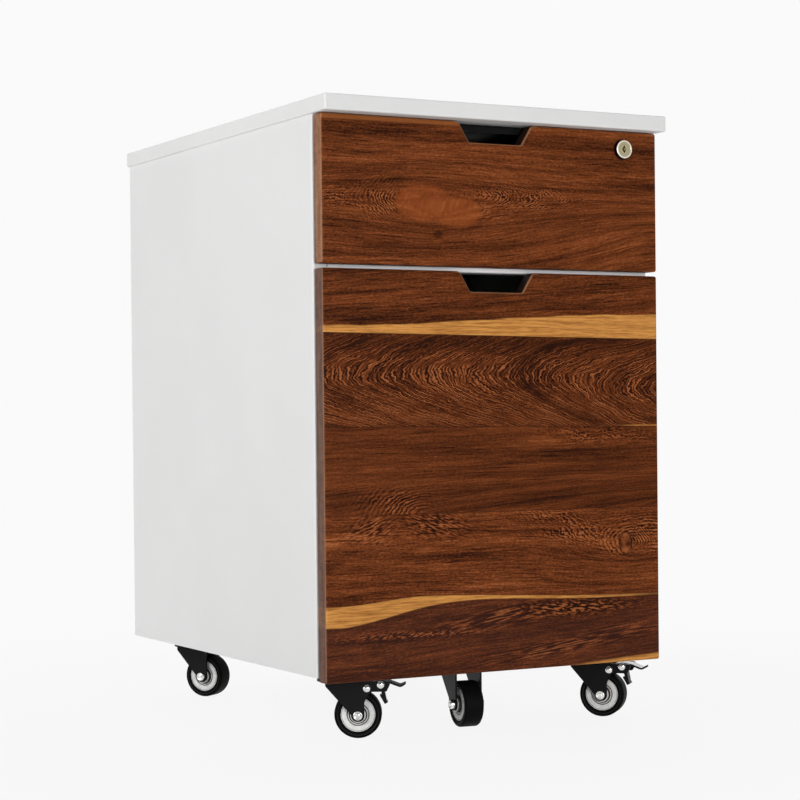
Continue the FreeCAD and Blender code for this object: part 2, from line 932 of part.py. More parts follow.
# Every piece under its own name
upper_slide_z = upper_floor + upper_slide_rise
lower_slide_z = lower_floor + lower_slide_rise
upper = drawer_set(upper_front_top, upper_front_bottom, upper_floor, upper_wall_height)
lower = drawer_set(lower_front_top, lower_front_bottom, lower_floor, lower_wall_height)
left_side = make_side_panel()
slab_screws = [down_screw(x, y, carcass_top - sheet, screw_bite) for x, y in slab_screw_places]
upper_outer = slide_member(outer_section, slide_outer_sheet, upper_slide_z)
lower_outer = slide_member(outer_section, slide_outer_sheet, lower_slide_z)
corner_bolts = []
for place in corner_places:
    corner_bolts += plate_bolts(place, panel_top)
fifth_bolts = plate_bolts(fifth_place, caster_height + bracket_sheet)

nodes = {
    "top_slab": make_slab(),
    "left_side_panel": left_side,
    "right_side_panel": mirrored(left_side),
    "back_panel": make_back_panel(),
    "bottom_panel": make_bottom_panel(),
    "top_front_rail": make_top_front_rail(),
    "divider_rail": make_divider_rail(),
    "slide_uprights": pair(make_upright()),
    "slab_screws": Part.makeCompound(slab_screws),
    "slide_outers": Part.makeCompound([upper_outer, mirrored(upper_outer), lower_outer, mirrored(lower_outer)]),
    "caster_plates": Part.makeCompound([caster_plate(place) for place in corner_places]),
    "caster_kingpins": Part.makeCompound([kingpin(place) for place in corner_places]),
    "caster_bolts": Part.makeCompound(corner_bolts),
    "upper_slide_middles": pair(slide_member(middle_section, slide_sheet, upper_slide_z)),
    "lower_slide_middles": pair(slide_member(middle_section, slide_sheet, lower_slide_z)),
    "upper_front": upper["front"].cut(lock_holes()),
    "upper_drawer_tray": upper["tray"],
    "upper_drawer_back": upper["back"],
    "upper_inner_front": upper["inner_front"],
    "upper_front_screws": upper["screws"],
    "upper_slide_inners": pair(slide_member(inner_section, slide_sheet, upper_slide_z)),
    "lock_barrel": make_lock_barrel(),
    "lock_nut": make_lock_nut(),
    "lock_plug": make_lock_plug(),
    "lock_cam": make_lock_cam(),
    "lower_front": lower["front"],
    "lower_drawer_tray": lower["tray"],
    "lower_drawer_back": lower["back"],
    "lower_inner_front": lower["inner_front"],
    "lower_front_screws": lower["screws"],
    "lower_slide_inners": pair(slide_member(inner_section, slide_sheet, lower_slide_z)),
    "file_rails": pair(make_file_rail()),
    "fifth_caster_bracket": make_bracket(),
    "fifth_caster_plate": caster_plate(fifth_place),
    "fifth_caster_kingpin": kingpin(fifth_place),
    "fifth_caster_bolts": Part.makeCompound(fifth_bolts),
}
for place in corner_places + [fifth_place]:
    braked = place[0].startswith("front")
    nodes[place[0] + "_fork"] = placed(fork(braked), place)
    nodes[place[0] + "_axle"] = placed(axle(), place)
    nodes[place[0] + "_rim"] = placed(rim(), place)
    nodes[place[0] + "_tyre"] = placed(tyre(), place)
    if braked:
        nodes[place[0] + "_brake_lever"] = placed(brake_lever(), place)
        nodes[place[0] + "_brake_rivets"] = placed(brake_rivets(), place)

for name, shape in nodes.items():
    shape.exportStep("parts/" + name + ".step")
print(len(nodes), "nodes written")
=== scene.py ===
import json
import math
import bmesh
import bpy
from mathutils import Matrix, Vector


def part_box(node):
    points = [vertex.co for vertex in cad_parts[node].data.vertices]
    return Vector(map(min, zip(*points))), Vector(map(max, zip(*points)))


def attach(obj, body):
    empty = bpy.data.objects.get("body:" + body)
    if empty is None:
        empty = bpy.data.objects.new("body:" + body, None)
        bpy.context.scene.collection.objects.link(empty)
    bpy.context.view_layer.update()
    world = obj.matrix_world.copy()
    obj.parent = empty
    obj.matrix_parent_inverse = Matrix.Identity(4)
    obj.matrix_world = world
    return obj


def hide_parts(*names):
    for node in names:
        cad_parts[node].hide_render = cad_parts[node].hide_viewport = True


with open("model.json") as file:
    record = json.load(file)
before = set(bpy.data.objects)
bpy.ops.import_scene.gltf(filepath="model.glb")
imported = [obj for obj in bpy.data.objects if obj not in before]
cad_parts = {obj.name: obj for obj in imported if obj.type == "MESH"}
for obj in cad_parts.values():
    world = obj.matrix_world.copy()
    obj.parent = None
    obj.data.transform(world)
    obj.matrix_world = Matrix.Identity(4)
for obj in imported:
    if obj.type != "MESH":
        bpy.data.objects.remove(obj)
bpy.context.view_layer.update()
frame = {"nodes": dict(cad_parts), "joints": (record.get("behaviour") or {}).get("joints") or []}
nodes = frame["nodes"]
joints = {joint["name"]: joint for joint in frame["joints"]}

# The frame is in metres; shapes and places on the wood are in mm
mm = 0.001
perMetre = 1000.0
upwards = (0.0, 0.0, 1.0)
white = (1.0, 1.0, 1.0)


class Wire:
    # A node's output; arithmetic on it adds Math nodes
    def __init__(self, shader, socket):
        self.shader = shader
        self.socket = socket

    def beside(self, output):
        return Wire(self.shader, self.socket.node.outputs[output])

    def calc(self, kind, *others):
        return self.shader.calc(kind, self, *others)

    def __add__(self, other):
        return self.calc("ADD", other)

    def __sub__(self, other):
        return self.calc("SUBTRACT", other)

    def __mul__(self, other):
        return self.calc("MULTIPLY", other)

    def __truediv__(self, other):
        return self.calc("DIVIDE", other)

    def __neg__(self):
        return self.calc("MULTIPLY", -1.0)

    def __rsub__(self, other):
        return self.shader.calc("SUBTRACT", other, self)

    def __rtruediv__(self, other):
        return self.shader.calc("DIVIDE", other, self)

    __radd__ = __add__
    __rmul__ = __mul__


class Shader:
    # The nodes of a material or of the world; surface names the node that finish feeds
    def __init__(self, owner, surface="Principled BSDF"):
        owner.use_nodes = True
        self.owner = owner
        self.tree = owner.node_tree
        self.surface = self.tree.nodes[surface]

    def node(self, kind, inputs, output=0, **settings):
        made = self.tree.nodes.new("ShaderNode" + kind)
        for key, value in settings.items():
            if key == "stops":
                self.setStops(made.color_ramp.elements, value)
            else:
                setattr(made, key, value)
        for key, value in inputs.items():
            self.feed(made.inputs[key], value)
        return Wire(self, made.outputs[output])

    def setStops(self, elements, stops):
        elements[1].position = 1.0
        for place, colour in stops[1:-1]:
            elements.new(place).color = (*colour, 1.0)
        elements[0].color = (*stops[0][1], 1.0)
        elements[len(stops) - 1].color = (*stops[-1][1], 1.0)

    def feed(self, socket, value):
        if isinstance(value, Wire):
            self.tree.links.new(value.socket, socket)
        elif hasattr(value, "__len__") and socket.type == "RGBA":
            socket.default_value = (*value, 1.0)
        else:
            socket.default_value = value

    def calc(self, kind, *values):
        return self.node("Math", dict(enumerate(values)), operation=kind)

    def point(self):
        return self.node("TexCoord", {}, "Object")

    def normal(self):
        return self.node("TexCoord", {}, "Normal")

    def split(self, vector):
        first = self.node("SeparateXYZ", {0: vector})
        return [first.beside(i) for i in range(3)]

    def vector(self, x, y, z):
        return self.node("CombineXYZ", {0: x, 1: y, 2: z})

    def noise(self, point, scale, detail=2.0, roughness=0.5):
        return self.node("TexNoise", {"Vector": point, "Scale": scale, "Detail": detail, "Roughness": roughness})

    def smooth(self, value, low, high, start=0.0):
        inputs = {"Value": value, "From Min": low, "From Max": high, "To Min": start}
        return self.node("MapRange", inputs, interpolation_type="SMOOTHSTEP")

    def band(self, value, rise, fall):
        return self.smooth(value, *rise) * self.smooth(value, *fall)

    def mix(self, factor, first, second):
        return self.node("Mix", {0: factor, 6: first, 7: second}, 2, data_type="RGBA")

    def bump(self, height, strength, distance):
        inputs = {"Height": height, "Strength": strength, "Distance": distance}
        self.feed(self.surface.inputs["Normal"], self.node("Bump", inputs))

    def finish(self, **inputs):
        for key, value in inputs.items():
            self.feed(self.surface.inputs[key.replace("_", " ")], value)
        return self.owner


def newMaterial(name):
    return Shader(bpy.data.materials.new(name))


def dress(names, material):
    for name in names:
        slots = nodes[name].data.materials
        slots.clear()
        slots.append(material)


cameraLook = {
    "place": (-1.10786, -2.08546, 0.32654),
    "azimuth": 28.417,
    "pitch": -0.715,
    "roll": -0.561,
    "lens": 95.165,
    "sensor": 36.0,
    "shiftUp": 0.05,
}


def makeCamera(look):
    azimuth, pitch, roll = (math.radians(look[key]) for key in ("azimuth", "pitch", "roll"))
    ahead = Vector((math.sin(azimuth) * math.cos(pitch), math.cos(azimuth) * math.cos(pitch), math.sin(pitch)))
    level = Vector((math.cos(azimuth), -math.sin(azimuth), 0.0))
    upright = level.cross(ahead)
    right = level * math.cos(roll) + upright * math.sin(roll)
    up = upright * math.cos(roll) - level * math.sin(roll)
    data = bpy.data.cameras.new("photoCamera")
    data.lens = look["lens"]
    data.sensor_width = look["sensor"]
    data.shift_y = look["shiftUp"]
    camera = bpy.data.objects.new("photoCamera", data)
    turn = Matrix((right, up, -ahead)).transposed().to_4x4()
    camera.matrix_world = Matrix.Translation(look["place"]) @ turn
    bpy.context.scene.collection.objects.link(camera)
    bpy.context.scene.camera = camera


# Seen directly, the floor glows like the backdrop and keeps a little shadow near the object
stageLook = {
    "floorSize": 60.0,
    "floorColour": (0.86, 0.86, 0.86),
    "floorRoughness": 0.9,
    "floorSpecular": 0.0,
    "backdrop": 0.955,
    "shadowKept": 0.07,
    "shadowFade": (0.3, 1.1),
    "skyStrength": 0.16,
}


def seenDirectly(shader):
    camera = shader.node("LightPath", {}, "Is Camera Ray")
    either = camera.calc("MAXIMUM", camera.beside("Is Glossy Ray"))
    return either.calc("MAXIMUM", camera.beside("Is Transmission Ray"))


def makeStage(look):
    bpy.ops.mesh.primitive_plane_add(size=look["floorSize"], location=(0.0, 0.0, 0.0))
    floor = bpy.context.object
    floor.name = "studioFloor"
    paint = newMaterial("studioFloorPaint")
    paint.finish(
        Base_Color=look["floorColour"], Roughness=look["floorRoughness"], Specular_IOR_Level=look["floorSpecular"])
    glow = paint.node("Emission", {"Color": white, "Strength": look["backdrop"]})
    position = paint.node("NewGeometry", {}, "Position")
    away = paint.node("VectorMath", {0: position}, "Value", operation="LENGTH")
    fade = paint.smooth(away, *look["shadowFade"], 1.0 - look["shadowKept"])
    plain = Wire(paint, paint.surface.outputs[0])
    blend = paint.node("MixShader", {0: seenDirectly(paint) * fade, 1: plain, 2: glow})
    paint.feed(paint.tree.nodes["Material Output"].inputs[0], blend)
    floor.data.materials.append(paint.owner)
    sky = Shader(bpy.data.worlds.new("studioSky"), "Background")
    strength = sky.node("Mix", {0: seenDirectly(sky), 2: look["skyStrength"], 3: look["backdrop"]})
    bpy.context.scene.world = sky.finish(Color=white, Strength=strength)


lampAim = (0.0, 0.0, 0.32)
lamps = [
    {"name": "frontLamp", "place": (-0.3, -2.8, 0.47), "size": 0.7, "energy": 28.0},
    {"name": "sideLamp", "place": (-3.0, -0.5, 1.3), "size": 2.4, "energy": 51.0},
    {"name": "topLamp", "place": (0.2, 0.6, 3.0), "size": 2.4, "energy": 13.0},
    {"name": "backLamp", "place": (1.8, 2.4, 1.5), "size": 2.4, "energy": 60.0},
]


def makeLamp(lamp):
    data = bpy.data.lights.new(lamp["name"], "AREA")
    data.shape = "DISK"
    data.size = lamp["size"]
    data.energy = lamp["energy"]
    light = bpy.data.objects.new(lamp["name"], data)
    light.location = lamp["place"]
    light.rotation_mode = "QUATERNION"
    light.rotation_quaternion = (Vector(lampAim) - light.location).to_track_quat("-Z", "Y")
    bpy.context.scene.collection.objects.link(light)


def speckled(shader, look, grain, cloud, fine):
    # Tone and roughness that follow a cloudy and a fine noise
    cloudTone, fineTone = grain["tone"]
    cloudRough, fineRough = grain["rough"]
    share = shader.smooth(cloud * cloudTone + fine * fineTone, *grain["toneRange"])
    rough = look["roughness"] + (fine - 0.5) * fineRough + (cloud - 0.5) * cloudRough
    return shader.mix(share, look["shade"], look["colour"]), rough


# Grain is a noise scale per metre and depth a bump distance in metres
slabLook = {
    "colour": (0.87, 0.87, 0.865), "shade": (0.845, 0.845, 0.84), "roughness": 0.50,
    "grain": 700.0, "depth": 0.0002, "specular": 0.15,
}
steelLook = {
    "colour": (0.86, 0.86, 0.855), "shade": (0.835, 0.835, 0.83), "roughness": 0.42,
    "grain": 1100.0, "depth": 0.0002, "specular": 0.30,
}
# The divider rail's white coat, painted lighter than the carcass's: painted light for the gap between the fronts
litRailLook = {
    "colour": (0.97, 0.95, 0.96), "shade": (0.95, 0.93, 0.94), "roughness": 0.42,
    "grain": 1100.0, "depth": 0.0002, "specular": 0.30,
}
trayLook = {
    "colour": (0.007, 0.006, 0.007), "shade": (0.013, 0.011, 0.012), "roughness": 0.50,
    "grain": 1100.0, "depth": 0.0003, "specular": 0.15,
}
forkLook = {
    "colour": (0.005, 0.005, 0.005), "shade": (0.011, 0.011, 0.011), "roughness": 0.34,
    "grain": 800.0, "depth": 0.0003, "specular": 0.07,
}
# Noises as scale, detail and roughness; pairs are the shares of the cloudy and the fine one
paintGrain = {
    "cloud": (7.0, 3.0, 0.5),
    "fine": (2.0, 0.6),
    "tone": (0.7, 0.3),
    "toneRange": (0.36, 0.64),
    "rough": (0.10, 0.16),
    "bump": 0.10,
}


def paintedSteel(name, look):
    shader = newMaterial(name)
    point = shader.point()
    cloud = shader.noise(point, *paintGrain["cloud"])
    fine = shader.noise(point, look["grain"], *paintGrain["fine"])
    colour, rough = speckled(shader, look, paintGrain, cloud, fine)
    shader.bump(fine, paintGrain["bump"], look["depth"])
    return shader.finish(Base_Color=colour, Roughness=rough, Specular_IOR_Level=look["specular"])


zincLook = {"colour": (0.56, 0.56, 0.55), "shade": (0.47, 0.47, 0.46), "roughness": 0.32}
boltLook = {"colour": (0.82, 0.82, 0.80), "shade": (0.62, 0.62, 0.60), "roughness": 0.16}
plateGrain = {
    "cloud": (60.0, 3.0, 0.6),
    "brushed": (900.0, 2.0, 0.6),
    "stretch": 0.06,
    "tone": (0.6, 0.4),
    "toneRange": (0.35, 0.65),
    "rough": (0.12, 0.20),
    "bump": (0.08, 0.0002),
}


def platedSteel(name, look):
    shader = newMaterial(name)
    point = shader.point()
    x, y, z = shader.split(point)
    brushed = shader.noise(shader.vector(x, y * plateGrain["stretch"], z), *plateGrain["brushed"])
    cloud = shader.noise(point, *plateGrain["cloud"])
    colour, rough = speckled(shader, look, plateGrain, cloud, brushed)
    shader.bump(brushed, *plateGrain["bump"])
    return shader.finish(Base_Color=colour, Roughness=rough, Metallic=1.0)


def about(shader, centre, axis):
    # The point, its distance from an axis and its place along it
    point = shader.point()
    away = shader.node("VectorMath", {0: point, 1: centre}, operation="SUBTRACT")
    cross = shader.node("VectorMath", {0: away, 1: axis}, operation="CROSS_PRODUCT")
    radius = shader.node("VectorMath", {0: cross}, "Value", operation="LENGTH") * perMetre
    along = shader.node("VectorMath", {0: away, 1: axis}, "Value", operation="DOT_PRODUCT") * perMetre
    return point, radius, along


# How finely eased corners are drawn, how near points are joined, and the angle from which an edge is sharp
turnedLook = {"curve": (0.0, 0.25, 0.5, 0.75, 1.0), "weld": 0.0000002, "sharpAngle": 38.0}


def easedEnds(corners):
    # Corners of a turned shape as (radius, along, easing); an eased corner becomes a short curve
    points = []
    for i, (radius, along, ease) in enumerate(corners):
        here = Vector((radius, along))
        before = Vector(corners[i - 1][:2])
        after = Vector(corners[(i + 1) % len(corners)][:2])
        start = here + (before - here).normalized() * ease
        end = here + (after - here).normalized() * ease
        for t in turnedLook["curve"] if ease else (0.5,):
            points.append(start * (1.0 - t) ** 2 + here * 2.0 * t * (1.0 - t) + end * t * t)
    return [tuple(point) for point in points]


def bothSides(half):
    return half + [(radius, -along, ease) for radius, along, ease in half[::-1]]


def turnedPiece(name, shapes, axis, level, closed, steps):
    # Each shape is its rings and its centre
    # A ring is a radius, or a function of the angle, and a place along the axis
    axis, level = Vector(axis), Vector(level)
    upright = axis.cross(level)
    points, faces = [], []
    for rings, centre in shapes:
        first, count = len(points), len(rings)
        for i in range(steps):
            angle = 2.0 * math.pi * i / steps
            away = level * math.cos(angle) + upright * math.sin(angle)
            for radius, along in rings:
                reach = radius(angle) if callable(radius) else radius
                points.append(Vector(centre) + (away * reach + axis * along) * mm)
            here, there = first + i * count, first + (i + 1) % steps * count
            for j in range(count if closed else count - 1):
                k = (j + 1) % count
                faces.append((here + j, here + k, there + k, there + j))
    mesh = bpy.data.meshes.new(name)
    mesh.from_pydata(points, [], faces)
    work = bmesh.new()
    work.from_mesh(mesh)
    bmesh.ops.remove_doubles(work, verts=work.verts, dist=turnedLook["weld"])
    bmesh.ops.recalc_face_normals(work, faces=work.faces)
    work.to_mesh(mesh)
    work.free()
    mesh.polygons.foreach_set("use_smooth", [True] * len(mesh.polygons))
    mesh.set_sharp_from_angle(angle=math.radians(turnedLook["sharpAngle"]))
    piece = bpy.data.objects.new(name, mesh)
    bpy.context.scene.collection.objects.link(piece)
    return piece


def standFor(piece, node, body, material):
    piece.data.materials.append(material)
    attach(piece, body)
    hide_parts(node)


def wheelPlace(name):
    joint = joints[name + "_wheel_roll"]
    return tuple(joint["pos_m"]), tuple(joint["axis"])


rimLook = {
    "colour": (0.90, 0.90, 0.885),
    "shade": (0.78, 0.78, 0.765),
    # The dark colour is painted shade for the grooves and for the hub round the axle head
    "groove": (0.03, 0.03, 0.03),
    "roughness": 0.28,
    "cloudRough": 0.2,
    "specular": 0.45,
    "cloud": (160.0, 3.0, 0.6),
    "toneRange": (0.35, 0.65),
    "dirt": (420.0, 2.0, 0.7),
    "bump": (0.12, 0.0004),
    # Painted shade in the grooves: the radii between which each ring begins and ends, and its strength
    "shadedGrooves": [
        ((7.85, 8.0), (9.5, 9.3), 0.97),
        ((10.25, 10.45), (11.55, 11.35), 0.88),
        ((16.15, 16.3), (16.8, 16.65), 0.6),
    ],
    "hubShadeRadii": (6.7, 6.4),
    "hubShadeShare": 0.95,
    "steps": 96,
    "side": [
        (17.38, 9.45, 0.30), (16.75, 9.45, 0.12), (16.65, 8.95, 0.10), (16.25, 8.95, 0.10), (16.15, 9.50, 0.15),
        (11.60, 9.30, 0.40), (11.30, 7.90, 0.15), (10.45, 7.70, 0.15), (10.30, 8.90, 0.30), (9.35, 8.90, 0.30),
        (9.20, 7.30, 0.15), (8.00, 7.30, 0.20), (8.00, 12.50, 0.70), (3.05, 12.50, 0.0),
    ],
}


def rimPlastic(name, look):
    shader = newMaterial(name + "RimPlastic")
    point, radius = about(shader, *wheelPlace(name))[:2]
    cloud = shader.noise(point, *look["cloud"])
    colour = shader.mix(shader.smooth(cloud, *look["toneRange"]), look["shade"], look["colour"])
    # Painted shade: darker in the grooves and on the hub round the axle head
    dark = shader.smooth(radius, *look["hubShadeRadii"]) * look["hubShadeShare"]
    for rise, fall, strength in look["shadedGrooves"]:
        dark = dark + shader.band(radius, rise, fall) * strength
    colour = shader.mix(dark.calc("MINIMUM", 1.0), colour, look["groove"])
    rough = look["roughness"] + (cloud - 0.5) * look["cloudRough"]
    shader.bump(shader.noise(point, *look["dirt"]), *look["bump"])
    return shader.finish(Base_Color=colour, Roughness=rough, Specular_IOR_Level=look["specular"])


tyreLook = {
    "colour": (0.003, 0.003, 0.003),
    "worn": (0.007, 0.007, 0.007),
    # A painted highlight: the lighter colour of the band on the bead
    "beadHighlight": (0.030, 0.030, 0.030),
    "roughness": 0.50,
    "cloudRough": 0.25,
    "beadRough": 0.18,
    "specular": 0.03,
    "cloud": (140.0, 4.0, 0.65),
    "fine": (1500.0, 2.0, 0.6),
    "tread": (22.6, 23.6),
    "treadWorn": 0.9,
    "fineWorn": 0.2,
    "beadRise": (20.0, 20.4),
    "beadFall": (21.3, 20.9),
    "beadHighlightShare": 0.7,
    "seam": (0.5, 0.2),
    "seamHeight": 0.6,
    "fineHeight": 0.3,
    "bump": (0.25, 0.0003),
    "steps": 128,
    "side": [
        (17.40, 9.70, 0.25), (19.70, 9.60, 0.80), (20.60, 10.45, 0.45), (21.40, 10.50, 0.50), (24.00, 10.10, 2.40),
    ],
}


def tyreRubber(name, look):
    shader = newMaterial(name + "TyreRubber")
    point, radius, along = about(shader, *wheelPlace(name))
    cloud = shader.noise(point, *look["cloud"])
    fine = shader.noise(point, *look["fine"])
    tread = shader.smooth(radius, *look["tread"])
    # Painted highlight: a lighter band on the bead
    beadHighlight = shader.band(radius, look["beadRise"], look["beadFall"])
    seam = shader.smooth(along.calc("ABSOLUTE"), *look["seam"]) * tread
    worn = (cloud * tread * look["treadWorn"] + fine * look["fineWorn"]).calc("MINIMUM", 1.0)
    colour = shader.mix(worn, look["colour"], look["worn"])
    colour = shader.mix(beadHighlight * look["beadHighlightShare"], colour, look["beadHighlight"])
    rough = look["roughness"] - beadHighlight * look["beadRough"] + (cloud - 0.5) * look["cloudRough"]
    shader.bump(fine * look["fineHeight"] + seam * look["seamHeight"], *look["bump"])
    return shader.finish(Base_Color=colour, Roughness=rough, Specular_IOR_Level=look["specular"])


def makeWheel(name):
    centre, axis = wheelPlace(name)
    rimRings, tyreRings = easedEnds(bothSides(rimLook["side"])), easedEnds(bothSides(tyreLook["side"]))
    rim = turnedPiece(name + "Rim", [(rimRings, centre)], axis, upwards, True, rimLook["steps"])
    standFor(rim, name + "_rim", name + "_wheel", rimPlastic(name, rimLook))
    tyre = turnedPiece(name + "Tyre", [(tyreRings, centre)], axis, upwards, True, tyreLook["steps"])
    standFor(tyre, name + "_tyre", name + "_wheel", tyreRubber(name, tyreLook))


axleLook = {
    "steps": 64,
    "end": [
        (0.0, 19.20, 0.0), (2.30, 19.20, 0.60), (2.75, 17.90, 0.20), (3.50, 17.90, 0.20), (3.75, 18.90, 0.35),
        (4.70, 18.50, 0.70), (5.00, 15.00, 0.0), (3.00, 15.00, 0.0),
    ],
}


def makeAxle(name, material, look):
    centre, axis = wheelPlace(name)
    ends = easedEnds(bothSides(look["end"]))
    axle = turnedPiece(name + "Axle", [(ends, centre)], axis, upwards, False, look["steps"])
    standFor(axle, name + "_axle", name + "_swivel", material)


# The spacer's rivet stands ahead of the wheel's axle and above the floor by these lengths
rivetLook = {
    "spacer": (9.0, 51.0),
    "steps": 48,
    "end": [
        (0.0, 17.70, 0.0), (1.6, 17.50, 0.8), (3.3, 16.75, 0.9), (4.2, 15.45, 0.5), (4.2, 15.00, 0.0),
        (2.0, 15.00, 0.0),
    ],
}


def makeBrakeRivets(name, material, look):
    # One through the lever's pivot, one through the spacer above the wheel
    centre, axis = wheelPlace(name)
    kingpin = Vector(joints[name + "_swivel_turn"]["pos_m"])
    trail = Vector(centre) - kingpin
    trail.z = 0.0
    ahead, rise = look["spacer"]
    spacer = Vector(centre) + trail.normalized() * ahead * mm
    spacer.z = rise * mm
    pivot = joints[name + "_brake_press"]["pos_m"]
    ends = easedEnds(bothSides(look["end"]))
    places = [(ends, pivot), (ends, spacer)]
    rivets = turnedPiece(name + "BrakeRivets", places, axis, upwards, False, look["steps"])
    standFor(rivets, name + "_brake_rivets", name + "_swivel", material)


lockLook = {
    "ring": (0.86, 0.80, 0.70),
    "face": (0.40, 0.35, 0.22),
    # The dark side colour is a painted reflection of the dark wood and painted shade on the bezel's rounded outer
    # side
    "side": (0.020, 0.012, 0.009),
    "roughness": 0.24,
    "turningRough": 0.22,
    "faceRough": 0.10,
    "ringFrom": (7.7, 7.9),
    "sideShadeReflectionFrom": (9.2, 9.7),
    "turning": (2.2, 3.0, 0.6),
    "turningStretch": (1.4, 0.3),
    "cloud": (220.0, 2.0),
    "cloudRange": (0.35, 0.75),
    "cloudShare": 0.25,
    "bump": (0.25, 0.0003),
    # Barrel: corners from its front as (radius, behind the front, easing), then the radii behind its head
    "barrelFront": [
        (5.45, 0.70, 0.0), (7.75, 0.70, 0.10), (7.95, 0.0, 0.15), (9.20, 0.0, 0.55), (10.00, 1.20, 0.60),
    ],
    "headRadius": 10.00,
    "stemRadius": 8.00,
    "boreRadius": 5.45,
    "barrelSteps": 96,
    # Plug: half width and half height of the diamond keyhole and of the slot in it, depths from its face
    "keyhole": (2.9, 4.2),
    "slot": (0.6, 3.2),
    "slotStart": 2.4,
    "slotEnd": 9.0,
    "plugRadius": 5.4,
    "plugEase": 0.2,
    "neckRadius": 3.6,
    "endRadius": 4.8,
    "plugSteps": 64,
}


def lockMetal(name, look, centre, axis):
    shader = newMaterial(name)
    point, radius, along = about(shader, centre, axis)
    radiusStretch, alongStretch = look["turningStretch"]
    rings = shader.vector(radius * radiusStretch, along * alongStretch, 0.0)
    turning = shader.noise(rings, *look["turning"])
    cloud = shader.noise(point, *look["cloud"])
    onRing = shader.smooth(radius, *look["ringFrom"])
    colour = shader.mix(onRing, look["face"], look["ring"])
    colour = shader.mix(shader.smooth(cloud, *look["cloudRange"]) * look["cloudShare"], colour, look["face"])
    # Painted reflection and painted shade: the bezel's rounded outer side is dark
    colour = shader.mix(shader.smooth(radius, *look["sideShadeReflectionFrom"]), colour, look["side"])
    rough = look["roughness"] + (turning - 0.5) * look["turningRough"] + (1.0 - onRing) * look["faceRough"]
    shader.bump(turning, *look["bump"])
    return shader.finish(Base_Color=colour, Roughness=rough, Metallic=1.0)


def makeLock(look):
    centre = joints["lock_turn"]["pos_m"]
    axis, level = (0.0, 1.0, 0.0), (1.0, 0.0, 0.0)
    material = lockMetal("lockNickel", look, tuple(centre), axis)
    dress(["lock_nut", "lock_cam"], material)

    def depth(node, corner):
        return (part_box(node)[corner].y - centre[1]) * perMetre

    front, back, wood = depth("lock_barrel", 0), depth("lock_barrel", 1), depth("upper_front", 0)
    head, stem, bore = look["headRadius"], look["stemRadius"], look["boreRadius"]
    corners = [(radius, front + behind, ease) for radius, behind, ease in look["barrelFront"]]
    corners += [(head, wood, 0.0), (stem, wood, 0.0), (stem, back, 0.0), (bore, back, 0.0)]
    barrel = turnedPiece("lockBarrel", [(easedEnds(corners), centre)], axis, level, True, look["barrelSteps"])
    standFor(barrel, "lock_barrel", "upper_drawer", material)

    def keyhole(angle):
        wide, high = look["keyhole"]
        return 1.0 / (abs(math.cos(angle)) / wide + abs(math.sin(angle)) / high)

    def slot(angle):
        wide, high = look["slot"]
        tiny = 0.001
        return min(wide / max(abs(math.cos(angle)), tiny), high / max(abs(math.sin(angle)), tiny))

    face, end = depth("lock_plug", 0), depth("lock_plug", 1)
    camFront, camBack = depth("lock_cam", 0), depth("lock_cam", 1)
    outer, ease, neck, last = (look[key] for key in ("plugRadius", "plugEase", "neckRadius", "endRadius"))
    slotStart, slotEnd = face + look["slotStart"], face + look["slotEnd"]
    rings = [
        (0.0, slotEnd), (slot, slotEnd), (slot, slotStart), (keyhole, face + ease), (keyhole, face),
        (outer - ease, face), (outer, face + ease), (outer, camFront), (neck, camFront), (neck, camBack),
        (last, camBack), (last, end), (0.0, end),
    ]
    plug = turnedPiece("lockPlug", [(rings, centre)], axis, level, False, look["plugSteps"])
    standFor(plug, "lock_plug", "lock_core", material)


woodTones = [
    (0.00, (0.018, 0.0038, 0.0006)),
    (0.20, (0.047, 0.0105, 0.0020)),
    (0.42, (0.105, 0.0260, 0.0062)),
    (0.62, (0.175, 0.0440, 0.0110)),
    (0.82, (0.255, 0.0680, 0.0190)),
    (1.00, (0.370, 0.1150, 0.0360)),
]
darkest, dark, middling, lightest = (woodTones[i][1] for i in (0, 1, 3, 5))

# Noise fields are size across, size down, seed, detail and roughness
boardLook = {
    "skew": 0.35,
    "deepSize": 9.0,
    "zigzag": 9.0,
    "sway": 22.0,
    "jagField": (5.2, 4.0, 57.0, 2.0, 0.65),
    "swayField": (46.0, 20.0, 63.0, 2.0, 0.55),
    "shownField": (30.0, 11.0, 67.0, 2.0, 0.6),
    "shownRange": (0.34, 0.60),
    "leastShown": 0.2,
    "dashRange": (0.36, 0.64),
    "ringRise": (0.1, 0.70),
    "ringFall": (1.0, 0.80),
    "ringMean": 0.48,
}


